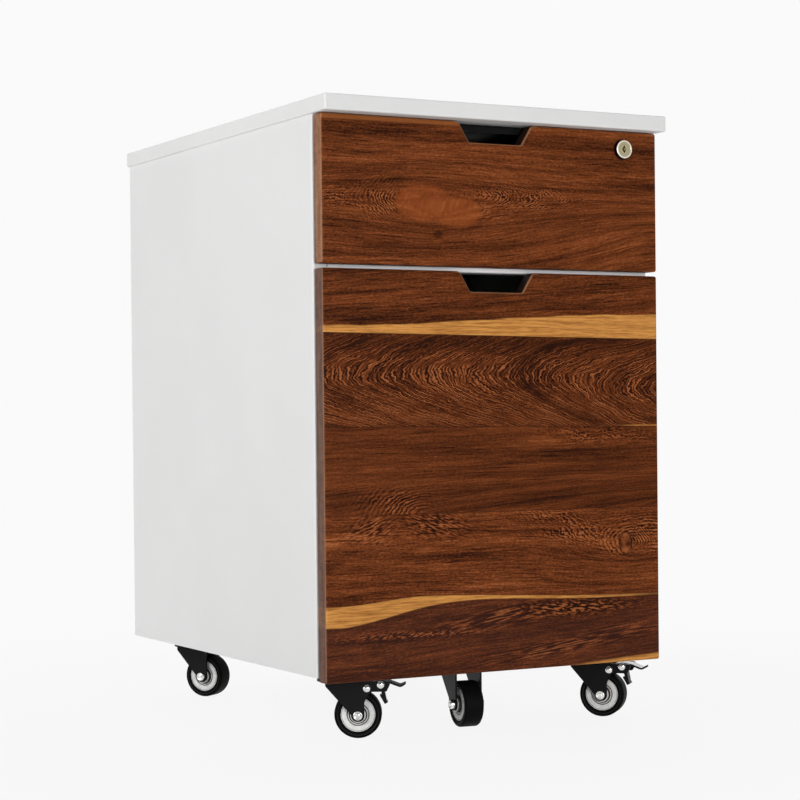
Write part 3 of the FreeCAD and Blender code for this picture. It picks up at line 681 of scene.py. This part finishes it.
class Boards:
    # A wooden front in mm: across from its left end, down from its top, deep from its face
    def __init__(self, name, node, look):
        self.shader = newMaterial(name)
        self.look = look
        low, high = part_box(node)
        x, y, z = self.shader.split(self.shader.point())
        self.across = (x - low.x) * perMetre
        self.down = (high.z - z) * perMetre
        self.deep = (y - low.y) * perMetre
        self.span = (high.x - low.x) * perMetre
        self.jags = self.field(*look["jagField"]) - 0.5
        self.sway = self.field(*look["swayField"]) - 0.5
        shown = self.shader.smooth(self.field(*look["shownField"]), *look["shownRange"])
        self.shown = shown * (1.0 - look["leastShown"]) + look["leastShown"]

    def field(self, acrossSize, downSize, seed, detail=2.0, roughness=0.5, down=None):
        down = self.down if down is None else down
        skewed = self.across + self.down * self.look["skew"]
        point = self.shader.vector(skewed / acrossSize, down / downSize, self.deep / self.look["deepSize"] + seed)
        return self.shader.noise(point, 1.0, detail, roughness)

    def seeded(self, row, seed, down=None):
        acrossSize, downSize, offset, detail, roughness = row
        return self.field(acrossSize, downSize, seed + offset, detail, roughness, down)

    def oval(self, acrossMiddle, downMiddle, stretch):
        a = (self.across - acrossMiddle) / stretch
        b = self.down - downMiddle
        return (a * a + b * b).calc("SQRT")

    def patch(self, across, down, wide, high, slope=0.0):
        a = (self.across - across) / wide
        b = (self.down - down - (self.across - across) * slope) / high
        return (-(a * a + b * b)).calc("EXPONENT")

    def patches(self, rows):
        # Soft patches: middle across and down, half width and height, strength
        total = 0.0
        for across, down, wide, high, strength in rows:
            total = total + self.patch(across, down, wide, high) * strength
        return total

    def dashes(self, rows):
        # Dark and light dashes, pointed at both ends: length, thickness, slope, seed, strength and their patch
        total = 0.0
        for long, thin, slope, seed, strength, place in rows:
            share = self.field(long, thin, seed, 1.0, 0.5, self.down - self.across * slope)
            share = self.shader.smooth(share, *self.look["dashRange"]) - 0.5
            total = total + share * self.patch(*place) * strength
        return total

    def nested(self, middle, blunt, steepAbove, steepBelow, flare=0.0):
        # How far the sides of an arch lying on its side trail behind its point, more with flare
        b = self.down - middle
        reach = (b * b + blunt * blunt).calc("SQRT") - blunt
        under = self.shader.smooth(b, -blunt, blunt)
        return reach * (steepAbove + under * (steepBelow - steepAbove)) + b * b * flare

    def rings(self, growth, spacing, zigzag, strength, sway=None):
        # One year's growth darkens slowly and starts again at once; the jags make it toothed
        look = self.look
        jagged = self.jags * (look["zigzag"] * zigzag) + self.sway * (look["sway"] if sway is None else sway)
        turn = ((growth + jagged) / spacing).calc("FRACT")
        shade = self.shader.band(turn, look["ringRise"], look["ringFall"]) - look["ringMean"]
        return shade * self.shown * strength


# Grain fields add their seed to that of the front; the single numbers are strengths
heartLook = {
    "driftField": (120.0, 34.0, 0.0, 2.0, 0.5),
    "broadField": (240.0, 12.0, 6.0, 2.0, 0.55),
    "streakField": (90.0, 3.6, 9.0, 2.0, 0.6),
    "fibreField": (22.0, 1.5, 12.0, 2.0, 0.6),
    "gritField": (3.4, 1.5, 15.0, 1.0, 0.6),
    "veinField": (75.0, 2.6, 18.0, 2.0, 0.55),
    "veinRange": (0.60, 0.76),
    "drift": 8.0,
    "broad": 0.85,
    "streaks": 0.70,
    "fibres": 0.85,
    "grit": 0.70,
    "rings": 0.85,
    "veins": 0.42,
}


def heartwood(boards, lines, figure, tone, look, seed, bold):
    # Streaks, fibres and grit run along the lines; figure is the toothed ring pattern
    shader = boards.shader
    flow = lines + (boards.seeded(look["driftField"], seed) - 0.5) * look["drift"]
    broad = boards.seeded(look["broadField"], seed, flow) - 0.5
    streak = boards.seeded(look["streakField"], seed, flow) - 0.5
    fibre = boards.seeded(look["fibreField"], seed, flow) - 0.5
    grit = boards.seeded(look["gritField"], seed, flow) - 0.5
    vein = shader.smooth(boards.seeded(look["veinField"], seed, flow), *look["veinRange"])
    fine = streak * look["streaks"] + fibre * look["fibres"] + grit * look["grit"] - vein * look["veins"]
    level = tone + broad * look["broad"] + fine * bold + figure * look["rings"]
    colour = shader.node("ValToRGB", {"Fac": level}, stops=woodTones)
    return colour, fibre + grit


sapLook = {
    "colour": (0.740, 0.336, 0.082),
    "shade": (0.390, 0.150, 0.034),
    "longField": (70.0, 2.4, 0.0, 3.0, 0.65),
    "shortField": (16.0, 1.4, 4.0, 2.0, 0.6),
    "dashField": (6.0, 1.1, 8.0, 1.0, 0.5),
    "longShare": 0.6,
    "shortShare": 0.4,
    "toneRange": (0.35, 0.62),
    "dashRange": (0.70, 0.80),
    "dashShare": 0.5,
}


def sapwood(boards, colour, amount, look, seed):
    shader = boards.shader
    long = boards.seeded(look["longField"], seed)
    short = boards.seeded(look["shortField"], seed)
    dash = shader.smooth(boards.seeded(look["dashField"], seed), *look["dashRange"])
    share = shader.smooth(long * look["longShare"] + short * look["shortShare"], *look["toneRange"])
    pale = shader.mix(share, look["shade"], look["colour"])
    pale = shader.mix(dash * look["dashShare"], pale, middling)
    return shader.mix(amount, colour, pale)


# Pores, end grain, painted highlights on eased edges and painted shade in the finger cut-out; ranges of deep are
# in mm from the face
finishLook = {
    "roughness": 0.46,
    "grainRough": 0.20,
    "ringRough": 0.06,
    "poreRough": 0.15,
    "specular": 0.05,
    "grainHeight": 0.5,
    "ringHeight": 0.3,
    "bump": (0.22, 0.0003),
    "poreField": (7.0, 0.9, 41.0, 1.0),
    "poreRange": (0.27, 0.19),
    "poreShare": 0.6,
    "onEnd": (0.55, 0.95),
    "endShare": 0.92,
    "speckleField": (0.9, 0.9, 3.0, 2.0, 0.7),
    "yearField": (40.0, 9.0, 7.0, 3.0, 0.6),
    "layerSize": (3.2, 70.0),
    "layerSeed": 4.0,
    "speckleShare": 0.3,
    "yearShare": 0.3,
    "layerShare": 0.4,
    "endRange": (0.38, 0.62),
    "backLine": (13.5, 16.5),
    "backShare": 0.6,
    "frontEdgeHighlight": (2.4, 1.0),
    "frontHighlightShare": 0.5,
    # Painted highlight colour of eased edges: the front edge of the end grain and the lip of the cut-out
    "eased": (0.480, 0.250, 0.130),
    # Painted shade colour: the walls of the finger cut-out and the wood round the lock
    "recessShade": (0.012, 0.006, 0.005),
    "cutAcross": (52.0, 48.0),
    "cutDown": (23.0, 21.0),
    "cutDeep": (1.4, 3.0),
    "cutShadeShare": 0.92,
    "lipRise": (0.05, 0.3),
    "lipFall": (1.6, 0.8),
    "lipHighlightShare": 0.45,
}


def woodFinish(boards, colour, ring, grain, look, end):
    shader = boards.shader
    pores = shader.smooth(boards.field(*look["poreField"]), *look["poreRange"])
    colour = shader.mix(pores * look["poreShare"], colour, darkest)
    normalX = shader.split(shader.normal())[0].calc("ABSOLUTE")
    onEnd = shader.smooth(normalX, *look["onEnd"])
    speckle = boards.field(*look["speckleField"])
    years = boards.field(*look["yearField"])
    deepSize, downSize = look["layerSize"]
    layers = shader.noise(shader.vector(boards.deep / deepSize, boards.down / downSize, look["layerSeed"]), 1.0)
    share = speckle * look["speckleShare"] + years * look["yearShare"] + layers * look["layerShare"]
    endColour = shader.mix(shader.smooth(share, *look["endRange"]), end["shade"], end["colour"])
    backLine = shader.smooth(boards.deep, *look["backLine"])
    endColour = shader.mix(backLine * look["backShare"], endColour, dark)
    # Painted highlight: a thin light line on the end grain along the eased front edge
    frontEdgeHighlight = shader.smooth(boards.deep, *look["frontEdgeHighlight"])
    endColour = shader.mix(frontEdgeHighlight * look["frontHighlightShare"], endColour, look["eased"])
    colour = shader.mix(onEnd * look["endShare"], colour, endColour)
    fromMiddle = (boards.across - boards.span / 2.0).calc("ABSOLUTE")
    nearCut = shader.smooth(fromMiddle, *look["cutAcross"]) * shader.smooth(boards.down, *look["cutDown"])
    cutWallShade = nearCut * shader.smooth(boards.deep, *look["cutDeep"])
    # Painted highlight along the eased lip of the cut-out
    cutLipHighlight = nearCut * shader.band(boards.deep, look["lipRise"], look["lipFall"])
    colour = shader.mix(cutLipHighlight * look["lipHighlightShare"], colour, look["eased"])
    # Painted shade: the walls of the finger cut-out are dark
    colour = shader.mix(cutWallShade * look["cutShadeShare"], colour, look["recessShade"])
    rough = look["roughness"] + grain * look["grainRough"] - ring * look["ringRough"] + pores * look["poreRough"]
    shader.bump(grain * look["grainHeight"] + ring * look["ringHeight"] - pores, *look["bump"])
    return shader.finish(Base_Color=colour, Roughness=rough, Specular_IOR_Level=look["specular"])


# Rings are spacing, share of the zigzag and strength; patches are middle across and down, half width and height
upperLook = {
    "seed": 31.0,
    "bold": 1.1,
    "tone": 0.53,
    "end": {"colour": (0.400, 0.200, 0.110), "shade": (0.230, 0.105, 0.060)},
    # The eye is two ovals as middle across, middle down and stretch
    "eye": (113.0, 83.0, 1.75),
    "eyeTail": (150.0, 91.0, 1.9),
    "tailShrink": 3.0,
    "eyeEdge": (15.0, 21.0),
    "eyeTone": 0.20,
    "eyeColour": (0.290, 0.0660, 0.0140),
    "eyeShare": 0.45,
    "spot": (129.0, 114.5, 1.5),
    "spotEdge": (5.5, 1.5),
    "spotShare": 0.7,
    "leftArch": (80.0, 6.0, 1.3, 1.5),
    "leftRings": (4.3, 1.0, 1.6),
    "leftPatch": (62.0, 81.0, 26.0, 18.0),
    "rightArch": (73.0, 7.0, 2.4, 2.6),
    "rightRings": (4.6, 1.4, 1.6),
    "rightPatch": (232.0, 74.0, 62.0, 13.0),
    "edgeRings": (3.2, 1.0, 1.1),
    "edgePatch": (14.0, 82.0, 24.0, 13.0),
    "lowRings": (3.2, 0.7, 1.1),
    "lowPatch": (180.0, 90.0, 30.0, 10.0),
    "lowSlope": 0.3,
    # Lines rise at the lower right, fall at the upper left and part round the eye
    "riseAcross": (150.0, 394.0),
    "riseDown": (60.0, 110.0),
    "riseSlope": 0.10,
    "fallAcross": (210.0, 0.0),
    "fallDown": (100.0, 50.0),
    "fallSlope": 0.05,
    "aroundPatch": (117.0, 83.0, 70.0, 40.0),
    "aroundDown": (62.0, 104.0),
    "aroundShift": 14.0,
    "lockHole": (351.5, 18.7, 1.0),
    # Painted shade in a ring on the wood just outside the lock's bezel
    "lockShadeEdge": (11.4, 10.4),
    "lockShadeShare": 0.85,
    "strip": (0.330, 0.1100, 0.0300),
    "stripDown": (6.0, 4.0),
    "stripAcross": (330.0, 120.0),
    "stripGrain": 2.0,
    "stripShare": 0.65,
    "patches": [
        (60.0, 12.0, 110.0, 8.0, -0.22),
        (60.0, 60.0, 60.0, 24.0, -0.09),
        (300.0, 14.0, 80.0, 8.0, -0.10),
        (260.0, 34.0, 70.0, 12.0, 0.12),
        (230.0, 58.0, 90.0, 7.0, 0.06),
        (120.0, 106.0, 50.0, 4.0, -0.14),
        (60.0, 128.0, 60.0, 12.0, -0.04),
        (300.0, 115.0, 70.0, 12.0, 0.12),
    ],
}


def upperWood(look):
    boards = Boards("upperFrontWood", "upper_front", boardLook)
    shader = boards.shader
    across, down = boards.across, boards.down
    eye = boards.oval(*look["eye"]).calc("MINIMUM", boards.oval(*look["eyeTail"]) + look["tailShrink"])
    outside = shader.smooth(eye, *look["eyeEdge"])
    left = boards.rings(across - boards.nested(*look["leftArch"]), *look["leftRings"])
    right = boards.rings(-across - boards.nested(*look["rightArch"]), *look["rightRings"])
    edge = boards.rings(down, *look["edgeRings"])
    low = boards.rings(down + across * look["lowSlope"], *look["lowRings"])
    figure = left * boards.patch(*look["leftPatch"]) + right * boards.patch(*look["rightPatch"])
    figure = figure + edge * boards.patch(*look["edgePatch"]) + low * boards.patch(*look["lowPatch"])
    figure = figure * outside
    rise = shader.smooth(across, *look["riseAcross"]) * shader.smooth(down, *look["riseDown"])
    fall = shader.smooth(across, *look["fallAcross"]) * shader.smooth(down, *look["fallDown"])
    near = boards.patch(*look["aroundPatch"])
    around = near * shader.smooth(down, *look["aroundDown"]) * 2.0 - near
    lines = down + across * (rise * look["riseSlope"] - fall * look["fallSlope"]) - around * look["aroundShift"]
    tone = look["tone"] + (1.0 - outside) * look["eyeTone"] + boards.patches(look["patches"])
    colour, grain = heartwood(boards, lines, figure, tone, heartLook, look["seed"], look["bold"])
    colour = shader.mix((1.0 - outside) * look["eyeShare"], colour, look["eyeColour"])
    spot = shader.smooth(boards.oval(*look["spot"]), *look["spotEdge"])
    colour = shader.mix(spot * look["spotShare"], colour, darkest)
    # Painted shade: the wood darkens in a ring just outside the lock's bezel
    lockRimShade = shader.smooth(boards.oval(*look["lockHole"]), *look["lockShadeEdge"])
    colour = shader.mix(lockRimShade * look["lockShadeShare"], colour, finishLook["recessShade"])
    strip = shader.smooth(down + grain * look["stripGrain"], *look["stripDown"])
    strip = strip * shader.smooth(across, *look["stripAcross"])
    colour = shader.mix(strip * look["stripShare"], colour, look["strip"])
    return woodFinish(boards, colour, figure, grain, finishLook, look["end"])


# Five boards, numbered from 0 at the top; a seam is its place at the left end and its fall to the right end
lowerLook = {
    "seed": 71.0,
    "end": {"colour": (0.210, 0.120, 0.088), "shade": (0.110, 0.062, 0.048)},
    "slopes": [0.075, 0.0, 0.02, -0.01, 0.06],
    "tones": [0.48, 0.40, 0.44, 0.54, 0.38],
    "bold": [1.1, 1.1, 0.85, 1.25, 1.25],
    "seams": [(62.7, 3.8), (155.0, 3.0), (242.3, 0.4), (330.3, 3.7)],
    "seamEdge": (-0.15, 0.15),
    "bulgeRise": (10.0, 115.0),
    "bulgeFall": (340.0, 100.0),
    "bulge": 7.4,
    "glue": (0.012, 0.006, 0.004),
    "glueEdge": (0.7, 0.1),
    "glueShare": 0.5,
    # Board 1: arches whose point sinks towards the right, with wide and narrow rings
    "archMiddle": 105.0,
    "archSink": 15.0,
    "archSinkAcross": (240.0, 380.0),
    "archSides": (11.0, 1.2, 1.8, 0.025),
    "archSway": 30.0,
    "wideRings": (10.0, 1.4, 0.55),
    "narrowRings": (4.6, 1.0, 1.05),
    "archBold": (120.0, 105.0, 110.0, 34.0),
    "archBoldShare": 0.35,
    "archFaint": (200.0, 66.0, 400.0, 14.0),
    "archFaintShare": 0.7,
    "archLines": -0.35,
    # Board 2: curls at the lower left, ripples at the upper right
    "curl": (113.0, 247.0, 1.7),
    "curlRings": (3.0, 0.5, 1.5, 8.0),
    "curlPatch": (82.0, 231.0, 34.0, 13.0),
    "rippleSlope": 0.08,
    "rippleRings": (4.6, 1.4, 1.3),
    "ripplePatch": (320.0, 166.0, 60.0, 8.0),
    "sinkDown": (190.0, 240.0),
    "sinkSlope": 0.11,
    # Board 3: slanting rings, tangled dashes and a knot
    "slant": (0.8, 0.50),
    "slantRings": (3.4, 0.8, 1.4),
    "slantPatch": (280.0, 262.0, 50.0, 16.0, 0.2),
    "tangle": [
        (8.0, 1.9, 0.30, 141.0, 1.3, (122.0, 253.0, 36.0, 13.0, 0.12)),
        (7.0, 1.9, -0.35, 149.0, 1.1, (52.0, 256.0, 26.0, 14.0)),
    ],
    "bendMiddle": (360.0, 277.0),
    "bendStretch": 1.5,
    "bendRings": (3.4, 0.6, 1.8, 8.0),
    "bendReach": (32.0, 15.0),
    "bendDown": (300.0, 280.0),
    "arrowArch": (279.0, 3.0, 1.0, 1.0),
    "arrowRings": (3.4, 0.5, 1.9, 8.0),
    "arrowPatch": (372.0, 278.0, 13.0, 11.0),
    "dipPatch": (352.0, 285.0, 75.0, 40.0),
    "dipDown": (262.0, 300.0),
    "dip": 16.0,
    "knot": (351.5, 280.3, 0.62),
    "knotRadius": 11.8,
    "knotJags": 4.0,
    "knotInside": (0.8, -1.8),
    "knotOrange": 0.35,
    "knotArcs": (351.5, 281.5, 1.0),
    "arcRings": (2.3, 0.4, 0.7, 3.0),
    "knotGlow": [(351.5, 287.8, 5.2, 3.4, 0.90), (350.8, 271.4, 5.2, 2.2, 0.72)],
    "knotOutline": (2.2, 0.3),
    "outlineField": (7.0, 7.0, 161.0),
    "outlineRange": (0.34, 0.58),
    "outlineLeast": 0.5,
    "outlineShare": 0.85,
    "knotSpots": [
        (354.6, 281.0, 3.0, 3.4, 0.80),
        (346.2, 281.5, 1.8, 3.0, 0.75),
        (361.5, 277.0, 4.5, 8.0, 0.45),
        (360.0, 293.3, 14.0, 2.2, 0.50),
    ],
    "knotDarkest": 0.92,
    # Board 4: dashes, with a purple cast away from the darkest of them
    "darts": [
        (7.5, 2.0, 0.16, 121.0, 2.8, (285.0, 344.0, 58.0, 7.0)),
        (24.0, 1.8, -0.15, 127.0, 1.9, (190.0, 351.0, 66.0, 9.0, -0.1)),
        (5.0, 1.7, -0.20, 131.0, 1.9, (92.0, 363.0, 70.0, 4.0)),
        (24.0, 1.7, -0.115, 137.0, 2.0, (285.0, 382.0, 100.0, 7.0, -0.12)),
    ],
    "purple": (0.088, 0.0290, 0.0200),
    "purpleShare": 0.30,
    "notPurple": (285.0, 344.0, 70.0, 9.0),
    # Sapwood: a streak above the first seam, a wedge with a hair under the last, a corner and a sliver
    "waverField": (55.0, 8.0, 81.0, 3.0),
    "waver": 4.0,
    "halfWaver": 0.5,
    "streakSeed": 91.0,
    "streakTop": 56.5,
    "streakGrowth": 16.0,
    "streakPart": (-0.08, 1.0),
    "streakEdge": (-0.6, 1.0),
    "wedgeSeed": 101.0,
    "wedgeEnds": [((185.0, 15.0), 16.0), ((330.0, 150.0), 4.4)],
    "wedgeEdge": (0.8, -0.6),
    "hairSlope": 2.5,
    "hairEdge": (5.2, 4.2),
    "hairAcross": (430.0, 310.0),
    "cornerSeed": 111.0,
    "cornerPlace": (283.0, 404.0),
    "cornerSlope": 0.064,
    "cornerEdge": (-0.8, 2.4),
    "cornerAcross": (270.0, 310.0),
    "sliverEdge": (1.6, 0.9),
    "sliverAcross": (338.0, 372.0),
    "patches": [
        (60.0, 48.0, 120.0, 6.0, -0.22),
        (260.0, 34.0, 90.0, 6.0, -0.16),
        (60.0, 34.0, 50.0, 6.0, 0.16),
        (330.0, 18.0, 60.0, 5.0, -0.10),
        (200.0, 74.0, 260.0, 9.0, -0.20),
        (230.0, 105.0, 34.0, 24.0, -0.22),
        (70.0, 366.5, 80.0, 1.8, -0.46),
        (60.0, 359.0, 60.0, 4.0, 0.10),
        (140.0, 112.0, 50.0, 22.0, 0.08),
        (350.0, 122.0, 40.0, 18.0, 0.06),
        (50.0, 146.0, 90.0, 8.0, 0.14),
        (240.0, 148.0, 30.0, 8.0, 0.12),
        (90.0, 158.0, 90.0, 4.0, -0.14),
        (246.0, 170.0, 30.0, 4.0, 0.20),
        (300.0, 186.0, 60.0, 6.0, -0.10),
        (60.0, 198.0, 80.0, 12.0, 0.12),
        (320.0, 230.0, 110.0, 10.0, -0.12),
        (84.0, 252.0, 50.0, 8.0, -0.14),
        (12.0, 268.0, 26.0, 5.0, 0.34),
        (10.0, 287.0, 24.0, 8.0, -0.24),
        (220.0, 262.0, 36.0, 14.0, 0.12),
        (170.0, 287.0, 60.0, 4.0, -0.16),
        (200.0, 306.0, 120.0, 12.0, 0.06),
        (290.0, 343.0, 74.0, 8.0, -0.26),
        (190.0, 356.0, 60.0, 4.0, -0.18),
        (60.0, 378.0, 90.0, 12.0, 0.06),
        (120.0, 398.0, 90.0, 4.0, -0.10),
        (330.0, 372.0, 70.0, 8.0, -0.06),
    ],
}


def lowerWood(look):
    boards = Boards("lowerFrontWood", "lower_front", boardLook)
    shader = boards.shader
    across, down = boards.across, boards.down
    part = across / boards.span
    seams = [start + part * fall for start, fall in look["seams"]]
    seams[3] = seams[3] - shader.band(across, look["bulgeRise"], look["bulgeFall"]) * look["bulge"]
    below = [shader.smooth(down - seam, *look["seamEdge"]) for seam in seams]

    def pick(values):
        total = values[0]
        for i, step in enumerate(below):
            total = total + step * (values[i + 1] - values[i])
        return total

    def board(number):
        return below[number - 1] * (1.0 - below[number])

    middle = look["archMiddle"] + shader.smooth(across, *look["archSinkAcross"]) * look["archSink"]
    arch = across - boards.nested(middle, *look["archSides"])
    sway = look["archSway"]
    arches = boards.rings(arch, *look["wideRings"], sway) + boards.rings(arch, *look["narrowRings"], sway)
    arches = arches * (1.0 + boards.patch(*look["archBold"]) * look["archBoldShare"])
    arches = arches * (1.0 - boards.patch(*look["archFaint"]) * look["archFaintShare"]) * board(1)

    curls = boards.rings(boards.oval(*look["curl"]), *look["curlRings"]) * boards.patch(*look["curlPatch"])
    ripples = boards.rings(down - across * look["rippleSlope"], *look["rippleRings"])
    ripples = ripples * boards.patch(*look["ripplePatch"])

    slantDown, slantAcross = look["slant"]
    slants = boards.rings(down * slantDown - across * slantAcross, *look["slantRings"])
    slants = slants * boards.patch(*look["slantPatch"])
    # Lines bend round the knot from its left and meet as fine arrows at its right
    bendAcross, bendHigh = look["bendMiddle"]
    left = ((across - bendAcross) / look["bendStretch"]).calc("MINIMUM", 0.0)
    high = down - bendHigh
    turn = (left * left + high * high).calc("SQRT")
    bends = boards.rings(turn, *look["bendRings"])
    bends = bends * shader.smooth(turn, *look["bendReach"]) * shader.smooth(down, *look["bendDown"])
    arrows = boards.rings(-across - boards.nested(*look["arrowArch"]), *look["arrowRings"])
    atRight = boards.patch(*look["arrowPatch"])
    around = bends * (1.0 - atRight) + arrows * atRight

    knot = boards.oval(*look["knot"]) - look["knotRadius"] + boards.jags * look["knotJags"]
    inside = shader.smooth(knot, *look["knotInside"])
    arcs = boards.rings(boards.oval(*look["knotArcs"]), *look["arcRings"])
    figure = arches + (curls + ripples) * board(2) + (slants + around + boards.dashes(look["tangle"])) * board(3)
    figure = figure + boards.dashes(look["darts"]) * below[3]
    figure = figure * (1.0 - inside) + arcs * inside

    dip = boards.patch(*look["dipPatch"]) * shader.smooth(down, *look["dipDown"]) * below[2]
    lines = down + across * pick(look["slopes"]) - dip * look["dip"]
    lines = lines + across * shader.smooth(down, *look["sinkDown"]) * board(2) * look["sinkSlope"]
    lines = lines + board(1) * ((arch + boards.sway * sway) * look["archLines"] - lines)
    tone = pick(look["tones"]) + boards.patches(look["patches"])
    colour, grain = heartwood(boards, lines, figure, tone, heartLook, look["seed"], pick(look["bold"]))
    plain = 1.0 - boards.patch(*look["notPurple"])
    colour = shader.mix(below[3] * plain * look["purpleShare"], colour, look["purple"])

    # Orange knot with a broken dark outline and dark spots at its waist
    colour = shader.mix(inside * look["knotOrange"], colour, middling)
    colour = shader.mix(boards.patches(look["knotGlow"]), colour, lightest)
    least = look["outlineLeast"]
    broken = shader.smooth(boards.field(*look["outlineField"]), *look["outlineRange"]) * (1.0 - least) + least
    outline = shader.smooth(knot.calc("ABSOLUTE"), *look["knotOutline"]) * broken * look["outlineShare"]
    spots = outline + boards.patches(look["knotSpots"])
    colour = shader.mix(spots.calc("MINIMUM", look["knotDarkest"]), colour, darkest)

    waver = (boards.field(*look["waverField"]) - 0.5) * look["waver"]
    halfWaver = waver * look["halfWaver"]
    streakTop = look["streakTop"] - shader.smooth(part, *look["streakPart"]) * look["streakGrowth"] + waver
    streak = shader.smooth(down - streakTop, *look["streakEdge"]) * (1.0 - below[0])
    colour = sapwood(boards, colour, streak, sapLook, look["streakSeed"])
    wedgeEnd = seams[3] + halfWaver
    for reach, growth in look["wedgeEnds"]:
        wedgeEnd = wedgeEnd + shader.smooth(across, *reach) * growth
    wedge = shader.smooth(down - wedgeEnd, *look["wedgeEdge"])
    hair = shader.smooth(down - seams[3] + part * look["hairSlope"], *look["hairEdge"])
    hair = hair * shader.smooth(across, *look["hairAcross"])
    colour = sapwood(boards, colour, wedge.calc("MAXIMUM", hair) * below[3], sapLook, look["wedgeSeed"])
    cornerAcross, cornerDown = look["cornerPlace"]
    corner = down - cornerDown + (across - cornerAcross) * look["cornerSlope"] + halfWaver
    corner = shader.smooth(corner, *look["cornerEdge"]) * shader.smooth(across, *look["cornerAcross"])
    sliver = shader.smooth(seams[1] - down, *look["sliverEdge"]) * shader.smooth(across, *look["sliverAcross"])
    colour = sapwood(boards, colour, corner.calc("MAXIMUM", sliver * board(1)), sapLook, look["cornerSeed"])
    for seam in seams:
        line = shader.smooth((down - seam).calc("ABSOLUTE"), *look["glueEdge"])
        colour = shader.mix(line * look["glueShare"], colour, look["glue"])
    return woodFinish(boards, colour, figure, grain, finishLook, look["end"])


bpy.context.scene.view_settings.view_transform = "Standard"
makeCamera(cameraLook)
makeStage(stageLook)
for lamp in lamps:
    makeLamp(lamp)
print("camera, floor and lamps placed")

dress(["top_slab"], paintedSteel("slabLaminate", slabLook))
carcass = ["left_side_panel", "right_side_panel", "back_panel", "bottom_panel", "slide_uprights"]
dress(carcass, paintedSteel("whitePowderCoat", steelLook))
# The divider rail gets a lighter copy of the white coat as painted light
dress(["divider_rail"], paintedSteel("litWhiteRailCoat", litRailLook))
drawers = ("upper", "lower")
inside = [drawer + "_" + piece for drawer in drawers for piece in ("drawer_tray", "drawer_back", "inner_front")]
dress(inside + ["fifth_caster_bracket"], paintedSteel("blackPowderCoat", trayLook))
casters = ("front_left", "front_right", "rear_left", "rear_right", "fifth")
braked = casters[:2]
black = [name + "_fork" for name in casters] + [name + "_brake_lever" for name in braked]
# The top front rail takes the black coat as painted shade, so that the upper finger cut-out looks as dark as its
# shade
black += ["caster_plates", "fifth_caster_plate", "top_front_rail"]
dress(black, paintedSteel("blackForkCoat", forkLook))
plated = ["slab_screws", "slide_outers", "caster_kingpins", "caster_bolts", "file_rails", "fifth_caster_kingpin",
          "fifth_caster_bolts"]
plated += [drawer + piece for drawer in drawers for piece in ("_slide_middles", "_slide_inners", "_front_screws")]
dress(plated, platedSteel("zincPlate", zincLook))
print("steel dressed")

brightBolt = platedSteel("brightBolt", boltLook)
for name in casters:
    makeWheel(name)
    makeAxle(name, brightBolt, axleLook)
for name in braked:
    makeBrakeRivets(name, brightBolt, rivetLook)
makeLock(lockLook)
print("wheels, rivets and lock made")

dress(["upper_front"], upperWood(upperLook))
dress(["lower_front"], lowerWood(lowerLook))
print("wooden fronts dressed")
